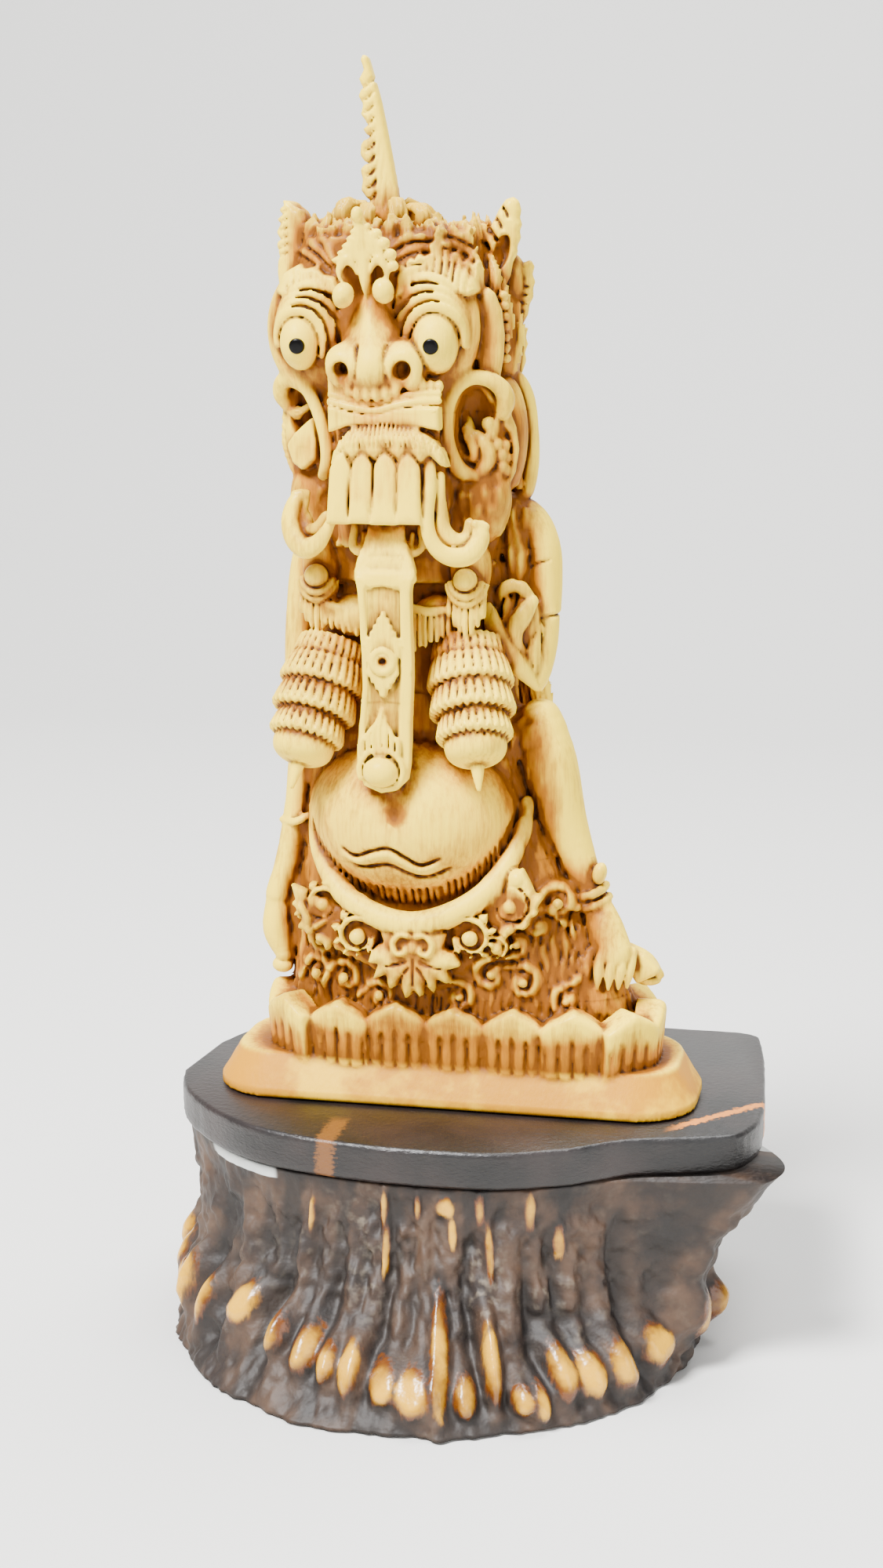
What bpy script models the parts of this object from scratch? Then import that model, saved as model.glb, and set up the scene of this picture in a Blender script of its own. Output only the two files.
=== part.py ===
"""Carved rangda figure on its lotus plinth, with a dark slab and an antler burr under it.

Metres, +Z up. The figure faces -Y, and the origin is the middle of the burr's underside.
The carving is one solid. Its places and sizes are written in carving millimetres, measured from the
middle of the plinth's underside on a figure 130 mm tall, and they grow with FIGURE_HEIGHT.
"""

import math

import bmesh
import bpy
from mathutils import Euler, Matrix, Vector

MM = 0.001
GAP = 0.3 * MM

# Driving sizes of the carving and its plinth
FIGURE_HEIGHT = 130 * MM
FIGURE_X = 3.0 * MM
FIGURE_Y = 4.0 * MM
PLINTH_X = 2.2 * MM
PLINTH_Y = 4.4 * MM
PLINTH_LENGTH = 62.6 * MM
PLINTH_DEPTH = 25 * MM
PLINTH_HEIGHT = 5.3 * MM
PLINTH_FRONT_CORNER = 8.5 * MM
PLINTH_BACK_CORNER = 11.5 * MM
PLINTH_EDGE = 1.0 * MM
PLINTH_SLOPE = 2.6 * MM

# Driving sizes of the inlaid pupils
PUPIL_DIAMETER = 1.9 * MM
PUPIL_DEPTH = 1.6 * MM
PUPIL_DOME = 0.35 * MM

# Driving sizes of the slab
SLAB_LENGTH = 77.4 * MM
SLAB_DEPTH = 57.4 * MM
SLAB_THICKNESS = 4.8 * MM
SLAB_X = 3.7 * MM
SLAB_Y = 5.6 * MM
SLAB_EDGE = 0.5 * MM

# Driving sizes of the antler burr
BURR_HEIGHT = 26.9 * MM
BURR_RADIUS = 37.6 * MM
BURR_WAIST = 1.8 * MM
BURR_INSET = 1.0 * MM
BURR_FLARE = 8.0 * MM
PEARL_SIZE = 3.0 * MM
RIDGE_HEIGHT = 1.1 * MM
PEARLS = 26
RIDGES = 17

# Levels worked out from the sizes above
SLAB_Z = BURR_HEIGHT + GAP
FIGURE_Z = SLAB_Z + SLAB_THICKNESS + GAP

# One carving millimetre, the figure being 130 of them tall
UNIT = FIGURE_HEIGHT / 130
FIGURE_FACES = 6500
CARVING_GRAIN = 0.42 * UNIT
EYE_RADII = (2.9, 3.4, 3.9)

FRONT = Vector((0, -1, 0))
UP = Vector((0, 0, 1))


def clear_scene():
    for item in list(bpy.data.objects):
        bpy.data.objects.remove(item, do_unlink=True)


def material(name, colour, roughness):
    finish = bpy.data.materials.new(name)
    finish.use_nodes = True
    shader = finish.node_tree.nodes["Principled BSDF"]
    shader.inputs["Base Color"].default_value = (*colour, 1)
    shader.inputs["Roughness"].default_value = roughness
    shader.inputs["Metallic"].default_value = 0
    finish.diffuse_color = (*colour, 1)
    return finish


def place(x, y, z):
    """A point of the carving, from its carving millimetres."""
    return Vector((FIGURE_X + x * UNIT, FIGURE_Y + y * UNIT, FIGURE_Z + z * UNIT))


def smooth_path(values, steps):
    """Points along a smooth curve through rows of numbers, steps to each span."""
    rows = [Vector(row) for row in values]
    if steps < 2 or len(rows) < 3:
        return rows
    ends = [2 * rows[0] - rows[1]] + rows + [2 * rows[-1] - rows[-2]]
    path = []
    for index in range(1, len(ends) - 2):
        before, start, end, after = ends[index - 1 : index + 3]
        for step in range(steps):
            t = step / steps
            bend = 2 * before - 5 * start + 4 * end - after
            twist = 3 * start - before - 3 * end + after
            path.append(0.5 * (2 * start + (end - before) * t + bend * t * t + twist * t**3))
    path.append(rows[-1])
    return path


def loft(shapes, rings, bottom=None, top=None):
    """Closes a skin over rings of equal count, each end flat or drawn to a point."""
    layers = [[shapes.verts.new(point) for point in ring] for ring in rings]
    count = len(layers[0])
    for lower, upper in zip(layers, layers[1:]):
        for index in range(count):
            after = (index + 1) % count
            shapes.faces.new((lower[index], lower[after], upper[after], upper[index]))
    for ring, tip, turned in ((layers[0], bottom, True), (layers[-1], top, False)):
        order = list(reversed(ring)) if turned else ring
        if tip is None:
            shapes.faces.new(order)
            continue
        peak = shapes.verts.new(tip)
        for index in range(count):
            shapes.faces.new((order[index], order[(index + 1) % count], peak))


def ball(shapes, centre, radii, turn=(0, 0, 0), segments=14, rings=8):
    """An egg at a place of the carving, its three radii in carving millimetres."""
    sizes = Matrix.Diagonal((*[radius * UNIT for radius in radii], 1))
    spin = Euler([math.radians(angle) for angle in turn]).to_matrix().to_4x4()
    matrix = Matrix.Translation(place(*centre)) @ spin @ sizes
    bmesh.ops.create_uvsphere(shapes, u_segments=segments, v_segments=rings, radius=1, matrix=matrix)


def limb(shapes, points, widths, depths=None, facing=FRONT, sides=8, steps=3, point=0.6):
    """A tapering limb or strap along a smooth curve, widths across and depths along facing."""
    depths = depths or widths
    spread = len(points) - 1
    wide = [widths[min(len(widths) - 1, round(i * (len(widths) - 1) / spread))] for i in range(spread + 1)]
    deep = [depths[min(len(depths) - 1, round(i * (len(depths) - 1) / spread))] for i in range(spread + 1)]
    path = [place(*row) for row in smooth_path(points, steps)]
    sizes = smooth_path([(w, d, 0) for w, d in zip(wide, deep)], steps)
    rings = []
    for index, centre in enumerate(path):
        ahead = path[min(index + 1, len(path) - 1)]
        behind = path[max(index - 1, 0)]
        along = (ahead - behind).normalized()
        across = along.cross(Vector(facing)).normalized()
        out = across.cross(along).normalized()
        ring = []
        for side in range(sides):
            angle = 2 * math.pi * side / sides
            reach = across * math.cos(angle) * sizes[index].x + out * math.sin(angle) * sizes[index].y
            ring.append(centre + reach * UNIT)
        rings.append(ring)
    start_tip = path[0] + (path[0] - path[1]).normalized() * sizes[0].x * point * UNIT
    end_tip = path[-1] + (path[-1] - path[-2]).normalized() * sizes[-1].x * point * UNIT
    loft(shapes, rings, start_tip, end_tip)


def stack(shapes, levels, sides=20, squareness=2.4):
    """A trunk through level rounded sections, each as x, y, z, half width and half depth."""
    rings = []
    for x, y, z, half_width, half_depth in smooth_path_levels(levels):
        ring = []
        for side in range(sides):
            angle = 2 * math.pi * side / sides
            cosine = math.cos(angle)
            sine = math.sin(angle)
            across = math.copysign(abs(cosine) ** (2 / squareness), cosine) * half_width
            deep = math.copysign(abs(sine) ** (2 / squareness), sine) * half_depth
            ring.append(place(x + across, y + deep, z))
        rings.append(ring)
    loft(shapes, rings)


def smooth_path_levels(levels):
    """The levels of a trunk with one more worked out between each two."""
    rows = []
    for lower, upper in zip(levels, levels[1:]):
        rows.append(lower)
        rows.append(tuple((low + high) / 2 for low, high in zip(lower, upper)))
    rows.append(levels[-1])
    return rows


def leaf(shapes, outline, y, thickness, tilt=0, about=None):
    """A flat piece cut to an outline of x and z, standing upright and turned about a vertical line."""
    middle = about if about is not None else sum(x for x, z in outline) / len(outline)
    turn = math.radians(tilt)
    rings = []
    for depth in (thickness / 2, -thickness / 2):
        ring = []
        for x, z in outline:
            across = (x - middle) * math.cos(turn) - depth * math.sin(turn)
            deep = (x - middle) * math.sin(turn) + depth * math.cos(turn)
            ring.append(place(middle + across, y + deep, z))
        rings.append(ring)
    loft(shapes, rings)


def arch(x, z, radius_x, radius_z, start, end, count):
    """Points on an upright oval arc, from one angle to another in degrees, as x and z."""
    points = []
    for index in range(count):
        angle = math.radians(start + (end - start) * index / (count - 1))
        points.append((x + radius_x * math.cos(angle), z + radius_z * math.sin(angle)))
    return points


def plinth_outline(length, depth, front_corner, back_corner, steps=5):
    """A rectangle with round corners, as x and y from its middle, with the corners' points worked out."""
    points = []
    for quarter, (sign_x, sign_y) in enumerate(((1, 1), (-1, 1), (-1, -1), (1, -1))):
        corner = back_corner if sign_y > 0 else front_corner
        centre = Vector((sign_x * (length / 2 - corner), sign_y * (depth / 2 - corner), 0))
        for step in range(steps + 1):
            angle = math.pi / 2 * (quarter + step / steps)
            points.append(centre + corner * Vector((math.cos(angle), math.sin(angle), 0)))
    return points


def walk_outline(outline, count):
    """Places spread evenly round a closed outline, each with its outward direction."""
    spans = [(b - a).length for a, b in zip(outline, outline[1:] + outline[:1])]
    pace = sum(spans) / count
    stops = []
    for index in range(count):
        left = (index + 0.5) * pace
        span = 0
        while left > spans[span]:
            left -= spans[span]
            span += 1
        start = outline[span]
        along = (outline[(span + 1) % len(outline)] - start).normalized()
        stops.append((start + along * left, Vector((along.y, -along.x, 0))))
    return stops


def trunk(shapes):
    """Head, neck, chest, hips and skirt, the mass that everything else is carved on."""
    stack(
        shapes,
        [
            (-7.6, 1.5, 66, 11.5, 7.5),
            (-8.0, 1.0, 75, 12.6, 8.4),
            (-8.8, 0.5, 83, 12.6, 9.4),
            (-9.0, 0.5, 91, 12.6, 9.8),
            (-9.2, 0.5, 100, 12.6, 10.0),
            (-9.6, 0.8, 107, 11.9, 9.6),
            (-9.8, 1.0, 110.2, 11.0, 8.8),
        ],
    )
    stack(
        shapes,
        [
            (0.0, 0.2, 3, 24.0, 9.4),
            (-0.8, 0.2, 12, 23.0, 9.2),
            (-2.4, 0.4, 20, 20.5, 8.8),
            (-4.6, 0.8, 30, 17.6, 8.2),
            (-6.6, 1.2, 40, 15.2, 7.8),
            (-7.0, 1.6, 50, 13.5, 7.6),
            (-7.2, 2.0, 58, 13.5, 7.4),
            (-7.4, 2.2, 68, 12.4, 7.4),
        ],
    )


def crown(shapes):
    """The flame spike, the tufted rim and the leaves that stand out beside the head."""
    limb(
        shapes,
        [(-11.0, 2, 107), (-11.1, 2, 113), (-11.6, 2, 119), (-12.6, 2, 125), (-13.6, 2, 129.6)],
        [3.4, 2.5, 1.9, 1.3, 0.7],
        [3.0, 2.2, 1.5, 1.1, 0.7],
    )
    for index in range(6):
        height = 111.5 + 2.6 * index
        ball(shapes, (-13.2 - 0.1 * index, 2, height), (1.1, 1.2, 1.5), segments=8, rings=6)
    for index in range(15):
        angle = 2 * math.pi * index / 15
        x = -9.8 + 9.8 * math.cos(angle)
        y = 1.0 + 7.8 * math.sin(angle)
        ball(shapes, (x, y, 109.4 + 0.6 * (index % 2)), (2.0, 1.6, 2.2), segments=8, rings=6)
    limb(
        shapes,
        [(-21.4, -1, 99), (-22.0, -1, 104), (-21.7, -1, 108), (-20.8, -1, 112)],
        [2.2, 2.1, 1.8, 0.9],
        [2.4, 2.4, 2.0, 1.0],
    )
    ball(shapes, (-22.2, -2, 100.2), (1.3, 1.6, 1.8), segments=8, rings=6)
    leaves = (
        ((1.2, 0, 104), (3.1, 0.3, 109), (4.3, 0.4, 112.6), 2.3),
        ((3.0, 3, 98), (4.4, 3.4, 102.5), (5.2, 3.8, 105.6), 1.9),
        ((3.0, 5, 90.5), (4.4, 5, 94), (4.7, 5, 97.2), 1.7),
    )
    for root, middle, tip, width in leaves:
        limb(shapes, [root, middle, tip], [width, width * 1.05, width * 0.6], [1.6, 1.6, 1.0])
    ball(shapes, (3.0, -4.4, 96), (2.0, 1.7, 5.0), turn=(0, 8, 0), segments=10)


def forehead(shapes):
    """Brow ridges, the plate over the eye and the hanging leaf with its two drops."""
    leaf(
        shapes,
        [(-11.4, 110.4), (-13.4, 107.6), (-12.0, 104.6), (-10.3, 101.6), (-8.9, 104.6), (-8.0, 107.6)],
        -10.6,
        3.0,
    )
    for x, z in ((-12.7, 101.2), (-7.8, 101.7)):
        ball(shapes, (x, -12.2, z), (1.55, 1.6, 1.5), segments=10, rings=6)
        limb(shapes, [(x, -11.4, z + 0.8), ((x - 10.3) / 2, -11.2, z + 3.8)], [0.8, 1.0])
    for drop in (0, 1.5):
        limb(
            shapes,
            [(-7.4, -9.8, 105.9 - drop), (-3.6, -10.2, 107.6 - drop), (1.0, -8.4, 106.8 - drop)],
            [0.75],
            sides=6,
        )
        limb(shapes, [(-19.2, -8.8, 107.2 - drop), (-14.4, -10.2, 104.6 - drop)], [0.75], sides=6)
    leaf(
        shapes,
        [(-2.2, 109.0), (-3.2, 105.4), (-6.4, 103.6), (-6.2, 101.2), (1.8, 101.4), (2.4, 104.6), (-1.2, 105.6)],
        -9.7,
        2.2,
        tilt=8,
    )
    leaf(shapes, [(-20.8, 104.6), (-20.6, 101.0), (-14.8, 101.0), (-14.8, 103.4)], -9.2, 2.0, tilt=-10)


def eye_centres():
    """The middle of each bulging eye, the viewer's left one first."""
    return ((-18.9, -8.8, 95.4), (-2.3, -9.4, 95.4))


def eyes(shapes):
    """Bulging eyes under three stepped lids."""
    for centre, inward in zip(eye_centres(), (1, -1)):
        x, y, z = centre
        ball(shapes, centre, EYE_RADII)
        for lid in range(3):
            reach_z = 4.1 + 1.1 * lid
            shift = inward * 0.5 * lid
            points = arch(x + shift, z - 0.3, 3.3 + 0.5 * lid, reach_z, -5, 185, 7)
            back = 0.5 + 0.5 * lid
            path = [(px, y + back + 0.14 * (px - x) ** 2 * (inward * (px - x) < 0), pz) for px, pz in points]
            limb(shapes, path, [0.62], [1.5], sides=6, steps=2)
        ball(shapes, (x + 0.9 * inward, y + 2.4, z), (3.8, 3.4, 5.0), segments=12)


def nose(shapes):
    limb(
        shapes,
        [(-9.9, -10.2, 102), (-9.9, -11.2, 98.4), (-9.8, -12.2, 95.0), (-9.8, -12.4, 92.6)],
        [1.2, 1.9, 2.5, 2.8],
        [1.6, 1.9, 2.2, 2.4],
    )
    ball(shapes, (-9.7, -12.3, 91.6), (2.5, 2.3, 2.3), segments=12)
    for x, lean in ((-13.2, -12), (-5.9, 12)):
        ball(shapes, (x, -11.1, 92.9), (2.3, 2.1, 2.4), turn=(0, lean, 0), segments=12)
        ball(shapes, (x, -9.8, 90.6), (2.6, 2.2, 2.2), segments=10, rings=6)


def mouth(shapes):
    """Lip band, ribbed gum, broad teeth and the two curling tusks."""
    for z, reach, radius in ((88.6, 11.9, 0.95), (86.4, 12.0, 1.35)):
        limb(
            shapes,
            [(-14.8, -reach + 1.0, z), (-8.4, -reach, z - 0.2), (-1.8, -reach + 1.0, z - 0.4)],
            [radius],
            [1.3],
            steps=4,
        )
    limb(
        shapes,
        [(-14.2, -10.6, 82.4), (-11.4, -11.3, 83.2), (-4.2, -11.3, 83.2), (-1.4, -10.4, 82.2)],
        [1.7, 2.4, 2.4, 1.7],
        [1.6, 2.0, 2.0, 1.6],
    )
    tooth_width = 2.8
    for index in range(4):
        left = -14.4 + index * (tooth_width + 0.04)
        top = 81.6 + 0.9 * math.sin(math.pi * (index + 0.5) / 4)
        edge = 0.35
        outline = [
            (left, 73.8),
            (left, top - 0.9),
            (left + tooth_width / 2, top + 0.5),
            (left + tooth_width, top - 0.9),
            (left + tooth_width, 73.8),
        ]
        leaf(shapes, outline, -11.9, 2.6)
        centre = left + tooth_width / 2
        limb(
            shapes,
            [(centre, -13.0, 74.1), (centre, -13.0, top - 1.2)],
            [tooth_width / 2 - edge],
            [0.6],
            sides=8,
            point=0.1,
        )
    tusks = (
        [(-14.2, -12.2, 79.5), (-14.6, -12.4, 74.5), (-16.0, -12.2, 71.7), (-18.2, -11.6, 71.3),
         (-20.0, -10.8, 73.0), (-20.2, -9.8, 76.0)],
        [(-2.2, -12.2, 80.6), (-2.1, -12.5, 74.5), (-1.2, -12.3, 71.6), (0.9, -11.6, 70.7),
         (2.9, -10.8, 72.0), (3.4, -9.8, 74.4)],
    )
    for path in tusks:
        limb(shapes, path, [1.0, 1.1, 1.3, 1.5, 1.4, 1.0], [1.3, 1.3, 1.4, 1.5, 1.4, 1.2], sides=8)
    ball(shapes, (-18.3, -8.4, 74.5), (2.8, 2.6, 4.4), segments=10, rings=6)
    ball(shapes, (1.2, -8.0, 74.6), (3.2, 2.8, 4.6), segments=10, rings=6)


def ears(shapes):
    """The two flared ears beside the mouth, their pendants, and the curls and lock behind them."""
    right_rim = [(2.6, -5.8, 79.2), (-0.6, -7.0, 80.6), (-1.5, -7.8, 85.2), (-0.6, -7.2, 89.0),
                 (2.0, -6.2, 90.6), (4.4, -4.8, 89.4), (4.9, -4.4, 87.2)]
    left_rim = [(-16.8, -7.4, 77.2), (-15.8, -8.4, 81.0), (-16.2, -8.4, 85.2), (-18.4, -7.2, 89.2),
                (-21.2, -5.4, 90.6), (-22.6, -4.4, 89.6)]
    for rim in (right_rim, left_rim):
        limb(shapes, rim, [0.95], [1.4], sides=8)
    limb(shapes, [(1.4, -6.4, 85.5), (2.4, -6.2, 82.4), (3.6, -5.8, 80.6)], [0.9, 1.1, 1.3], sides=6)
    leaf(shapes, [(-22.0, 88.5), (-22.2, 83.0), (-20.2, 78.6), (-17.6, 77.0), (-17.0, 84.0)], -4.8, 4.0, tilt=-22)
    for index in range(6):
        angle = math.radians(-70 + 24 * index)
        ball(
            shapes,
            (1.4 + 3.6 * math.cos(angle), -3.6 - 0.3 * index, 83.0 + 5.4 * math.sin(angle)),
            (1.0, 1.2, 1.0),
            segments=8,
            rings=6,
        )
    limb(
        shapes,
        [(3.8, 5, 91.6), (5.6, 5.6, 86.5), (5.8, 5.6, 81), (4.6, 5, 76)],
        [1.6, 1.9, 1.9, 1.5],
        [2.6, 3.0, 3.0, 2.4],
    )
    for x, y, z in ((1.6, -8.9, 67.2), (-18.2, -7.6, 66.8)):
        ball(shapes, (x, y, z), (1.9, 1.9, 1.9), segments=10, rings=6)
        ball(shapes, (x, y + 0.2, z - 1.7), (2.3, 2.2, 1.1), segments=10, rings=6)
        limb(
            shapes,
            [(x, y + 0.6, z - 1.6), (x + 0.2, y + 0.4, z - 4.6), (x + 0.3, y + 0.2, z - 7.4)],
            [2.1, 1.7, 0.7],
            [1.7, 1.4, 0.8],
            sides=6,
        )
        ball(shapes, (x, y + 3.2, z + 1.5), (2.6, 3.0, 4.4), segments=10, rings=6)


def tongue(shapes):
    """The long tongue that bends over the chin and lies down the front, with the ball at its tip."""
    limb(
        shapes,
        [(-8.7, -8.6, 75), (-8.6, -11.2, 70.6), (-8.5, -12.8, 67.6), (-8.2, -12.8, 61), (-8.1, -12.8, 51),
         (-8.0, -13.4, 45), (-7.8, -13.6, 42)],
        [2.0, 2.7, 4.2, 3.5, 3.3, 3.4, 3.2],
        [1.6, 1.8, 1.6, 1.3, 1.3, 1.4, 1.4],
    )
    ball(shapes, (-8.2, -14.0, 42.8), (2.4, 1.9, 2.3), segments=12)
    limb(shapes, [(-8.3, -10.5, 66), (-8.2, -10.6, 54), (-8.0, -11.2, 43)], [2.6], [2.6], sides=6)


def breasts(shapes):
    """Two hanging breasts, each of stepped fringes that end in a nipple."""
    for root, tip in (((0.6, -4.6, 58.2), (3.2, -11.4, 45.4)), ((-16.6, -4.4, 57.6), (-19.2, -10.8, 45.2))):
        start = Vector(root)
        run = Vector(tip) - start
        for tier, radius in enumerate((5.4, 5.7, 5.4, 4.7, 3.9)):
            share = 0.16 + 0.19 * tier
            middle = start + run * share
            limb(
                shapes,
                [middle - run * 0.13, middle - run * 0.02, middle + run * 0.06],
                [radius * 0.82, radius * 0.98, radius],
                facing=(0.3, -1, 0.4),
                sides=12,
                steps=1,
                point=0.25,
            )
        direction = run.normalized()
        end = Vector(tip)
        limb(shapes, [end, end + direction * 2.2, end + direction * 4.2], [1.3, 0.95, 0.6], sides=6, steps=1)
    for x, z in ((-14.0, 62.0), (-2.6, 62.4)):
        ball(shapes, (x, -7.4, z), (3.6, 2.6, 2.8), segments=10, rings=6)


def belly(shapes):
    """The round belly in its belt, with the leafy apron under it."""
    ball(shapes, (-6.5, -1.8, 36.4), (14.0, 11.3, 10.8), segments=22, rings=14)
    limb(
        shapes,
        [(-20.6, -4.4, 36.5), (-18.6, -7.0, 30.4), (-13.2, -8.8, 25.6), (-5.9, -9.4, 23.4), (1.1, -8.8, 26.0),
         (6.7, -6.6, 31.8), (9.0, -3.6, 37)],
        [1.2],
        [1.5],
        steps=4,
    )
    scrolls = (
        (-17.8, -7.2, 26.6, 2.7), (-12.3, -8.9, 21.2, 3.0), (-5.6, -9.4, 19.2, 3.6), (1.2, -9.0, 21.2, 2.8),
        (7.4, -7.4, 27.0, 2.8),
    )
    for x, y, z, size in scrolls:
        for turn in range(5):
            angle = math.radians(200 + 35 * turn)
            ball(
                shapes,
                (x + size * 0.62 * math.cos(angle), y, z + size * 0.75 * math.sin(angle)),
                (size * 0.42, 1.3, size * 0.5),
                segments=8,
                rings=6,
            )
        ball(shapes, (x, y, z + size * 0.3), (size * 0.45, 1.7, size * 0.45), segments=8, rings=6)
    for row, (z, y, count, left, right) in enumerate(((17.5, -7.6, 6, -19, 12), (13.2, -8.2, 8, -21, 17))):
        for index in range(count):
            x = left + (right - left) * (index + 0.5 * row) / (count - 1 + 0.5 * row)
            ball(shapes, (x, y, z + 0.8 * (index % 2)), (1.9, 1.5, 2.0), segments=8, rings=6)


def arms(shapes):
    """The bent arm with its long nails on one side, the straight arm on the other."""
    limb(
        shapes,
        [(4.0, 3.6, 74.5), (7.0, 4.0, 70.5), (8.2, 4.2, 65), (8.4, 3.4, 60)],
        [2.6, 3.2, 2.7, 2.3],
        [3.2, 3.6, 3.0, 2.6],
    )
    limb(shapes, [(8.4, 3.0, 61), (7.6, -0.4, 60.0), (5.8, -2.6, 61.6)], [2.3, 2.2, 1.9], facing=(0, 0, 1))
    for nail in range(4):
        across = 1.35 * nail
        limb(
            shapes,
            [
                (4.4 + 0.7 * across, -3.2 + 0.5 * across, 62.8 - 0.4 * across),
                (4.9 + 0.9 * across, -4.0 + 0.5 * across, 58.4 - 0.4 * across),
                (7.0 + 0.5 * across, -2.4 + 0.4 * across, 53.2 - 0.1 * across),
            ],
            [0.95, 0.85, 0.6],
            sides=6,
        )
    limb(
        shapes,
        [(-19.0, 2.6, 73), (-21.2, 3.0, 68), (-22.2, 2.6, 61), (-22.4, 1.6, 53), (-21.9, 0.6, 46)],
        [2.4, 2.7, 2.6, 2.4, 2.2],
        [3.2, 3.4, 3.2, 3.0, 2.8],
    )


def legs(shapes):
    """Raised knees and the shins that come down to the anklets and feet at each side."""
    limb(shapes, [(-1, 3, 42), (5, 2, 45.5), (9.2, 0.4, 46.8)], [4.4, 4.2, 3.4], sides=10)
    limb(
        shapes,
        [(9.2, 0.4, 48.4), (10.4, 0.2, 43), (12.2, 0.2, 35.5), (14.8, -0.4, 29.0), (16.2, -1.0, 26.0)],
        [3.0, 3.6, 3.2, 2.4, 2.1],
        [3.6, 4.0, 3.6, 2.8, 2.4],
        sides=10,
    )
    limb(shapes, [(15.4, -1.0, 28.2), (16.0, -1.2, 26.9)], [2.7], [3.0], sides=10, point=0.15)
    ball(shapes, (17.6, -1.2, 28.4), (1.3, 1.5, 1.6), segments=8, rings=6)
    limb(
        shapes,
        [(16.4, -1.2, 26.2), (18.0, -2.6, 21.8), (19.0, -3.8, 18.4)],
        [2.2, 2.6, 2.9],
        [2.4, 2.0, 1.4],
    )
    for toe in range(4):
        x = 17.3 + 1.25 * toe
        limb(shapes, [(x + 0.2, -3.6, 19.4), (x - 0.1, -4.6, 17.6), (x, -4.9, 16.0)], [0.8, 0.75, 0.6], sides=6)
    limb(shapes, [(20.4, 0, 17.6), (22.4, 0.6, 16.4), (24.0, 0.8, 15.6)], [1.8, 1.5, 0.8], sides=8)
    limb(shapes, [(-12, 3, 41), (-18, 2, 43), (-22, 0.6, 41)], [4.2, 3.6, 2.2], sides=8)
    limb(
        shapes,
        [(-21.9, 0.4, 44), (-22.6, 0.2, 36), (-23.8, 0.0, 29), (-25.2, -0.4, 23.8), (-25.0, -1.2, 18.5),
         (-24.0, -1.6, 16.4)],
        [2.0, 2.0, 2.0, 2.2, 2.3, 1.6],
        [3.0, 3.0, 3.0, 3.0, 3.0, 2.0],
    )
    limb(shapes, [(-22.4, 0.2, 34.6), (-22.6, 0.2, 33.4)], [2.4], [3.3], point=0.15)


def mane(shapes):
    """Long locks of hair that hang down the back and end above the petals."""
    locks = 9
    for index in range(locks):
        share = index / (locks - 1) - 0.5
        points = []
        for z in (109, 98, 86, 74, 62, 50, 38, 26, 15):
            fall = (109 - z) / 94
            middle = -9.4 + 6.4 * fall
            spread = 19 + 13 * fall
            wave = 0.7 * math.sin(z * 0.22 + index)
            bow = 1 - 2.2 * share * share
            points.append((middle + spread * share + wave, 5.6 + 4.2 * bow - 0.8 * fall, z))
        limb(shapes, points, [1.6, 1.8, 2.0], [1.7, 1.9, 1.9], sides=6, steps=2)


def lotus(shapes):
    """The row of pointed petals round the foot of the carving."""
    drum = plinth_outline(49.2, 18.4, 6.0, 11.5)
    rings = [[place(p.x, p.y, z) for p in drum] for z in (2.0, 10.4)]
    loft(shapes, rings)
    petals = 20
    for stop, outward in walk_outline(drum, petals):
        along = Vector((-outward.y, outward.x, 0))
        rings = []
        for depth in (-1.2, 1.0):
            ring = []
            for across, z in ((-3.2, 4.2), (3.2, 4.2), (3.35, 8.6), (2.2, 11.2), (0, 12.9), (-2.2, 11.2), (-3.35, 8.6)):
                lean = 0.08 * (z - 4.2)
                bulge = 0.5 * (1 - (across / 3.4) ** 2) if depth > 0 else 0
                point = stop + along * across + outward * (depth + lean + bulge)
                ring.append(place(point.x, point.y, z))
            rings.append(ring)
        loft(shapes, rings)


def new_object(name, shapes, finish):
    """Names the shapes as one mesh object with its faces turned outwards."""
    bmesh.ops.recalc_face_normals(shapes, faces=shapes.faces)
    mesh = bpy.data.meshes.new(name)
    shapes.to_mesh(mesh)
    shapes.free()
    item = bpy.data.objects.new(name, mesh)
    bpy.context.collection.objects.link(item)
    if finish:
        mesh.materials.append(finish)
    return item


def hide_cutter(item):
    item.hide_render = True
    item.display_type = "WIRE"


def add_boolean(item, other, operation):
    change = item.modifiers.new(other.name, "BOOLEAN")
    change.operation = operation
    change.solver = "EXACT"
    change.object = other


def plinth_block():
    """The plain plinth under the petals, its sides sloping in to the ledge."""
    shapes = bmesh.new()
    levels = (
        (0, 0.0),
        (PLINTH_EDGE, 0.0),
        (PLINTH_HEIGHT * 0.8, PLINTH_SLOPE * 0.7),
        (PLINTH_HEIGHT, PLINTH_SLOPE),
    )
    rings = []
    for z, inset in levels:
        outline = plinth_outline(
            PLINTH_LENGTH - 2 * inset,
            PLINTH_DEPTH - 2 * inset,
            PLINTH_FRONT_CORNER - inset,
            PLINTH_BACK_CORNER - inset,
        )
        rings.append([Vector((PLINTH_X + p.x, PLINTH_Y + p.y, FIGURE_Z + z)) for p in outline])
    loft(shapes, rings)
    block = new_object("plinth_block", shapes, None)
    hide_cutter(block)
    return block


def pupil_frame(centre):
    """The place and direction of a pupil on the front of its eye, looking out and a little down."""
    x, y, z = centre
    direction = Vector((0.02, -1, -0.16)).normalized()
    surface = place(x, y, z) + direction * EYE_RADII[1] * UNIT
    return surface, direction


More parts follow.
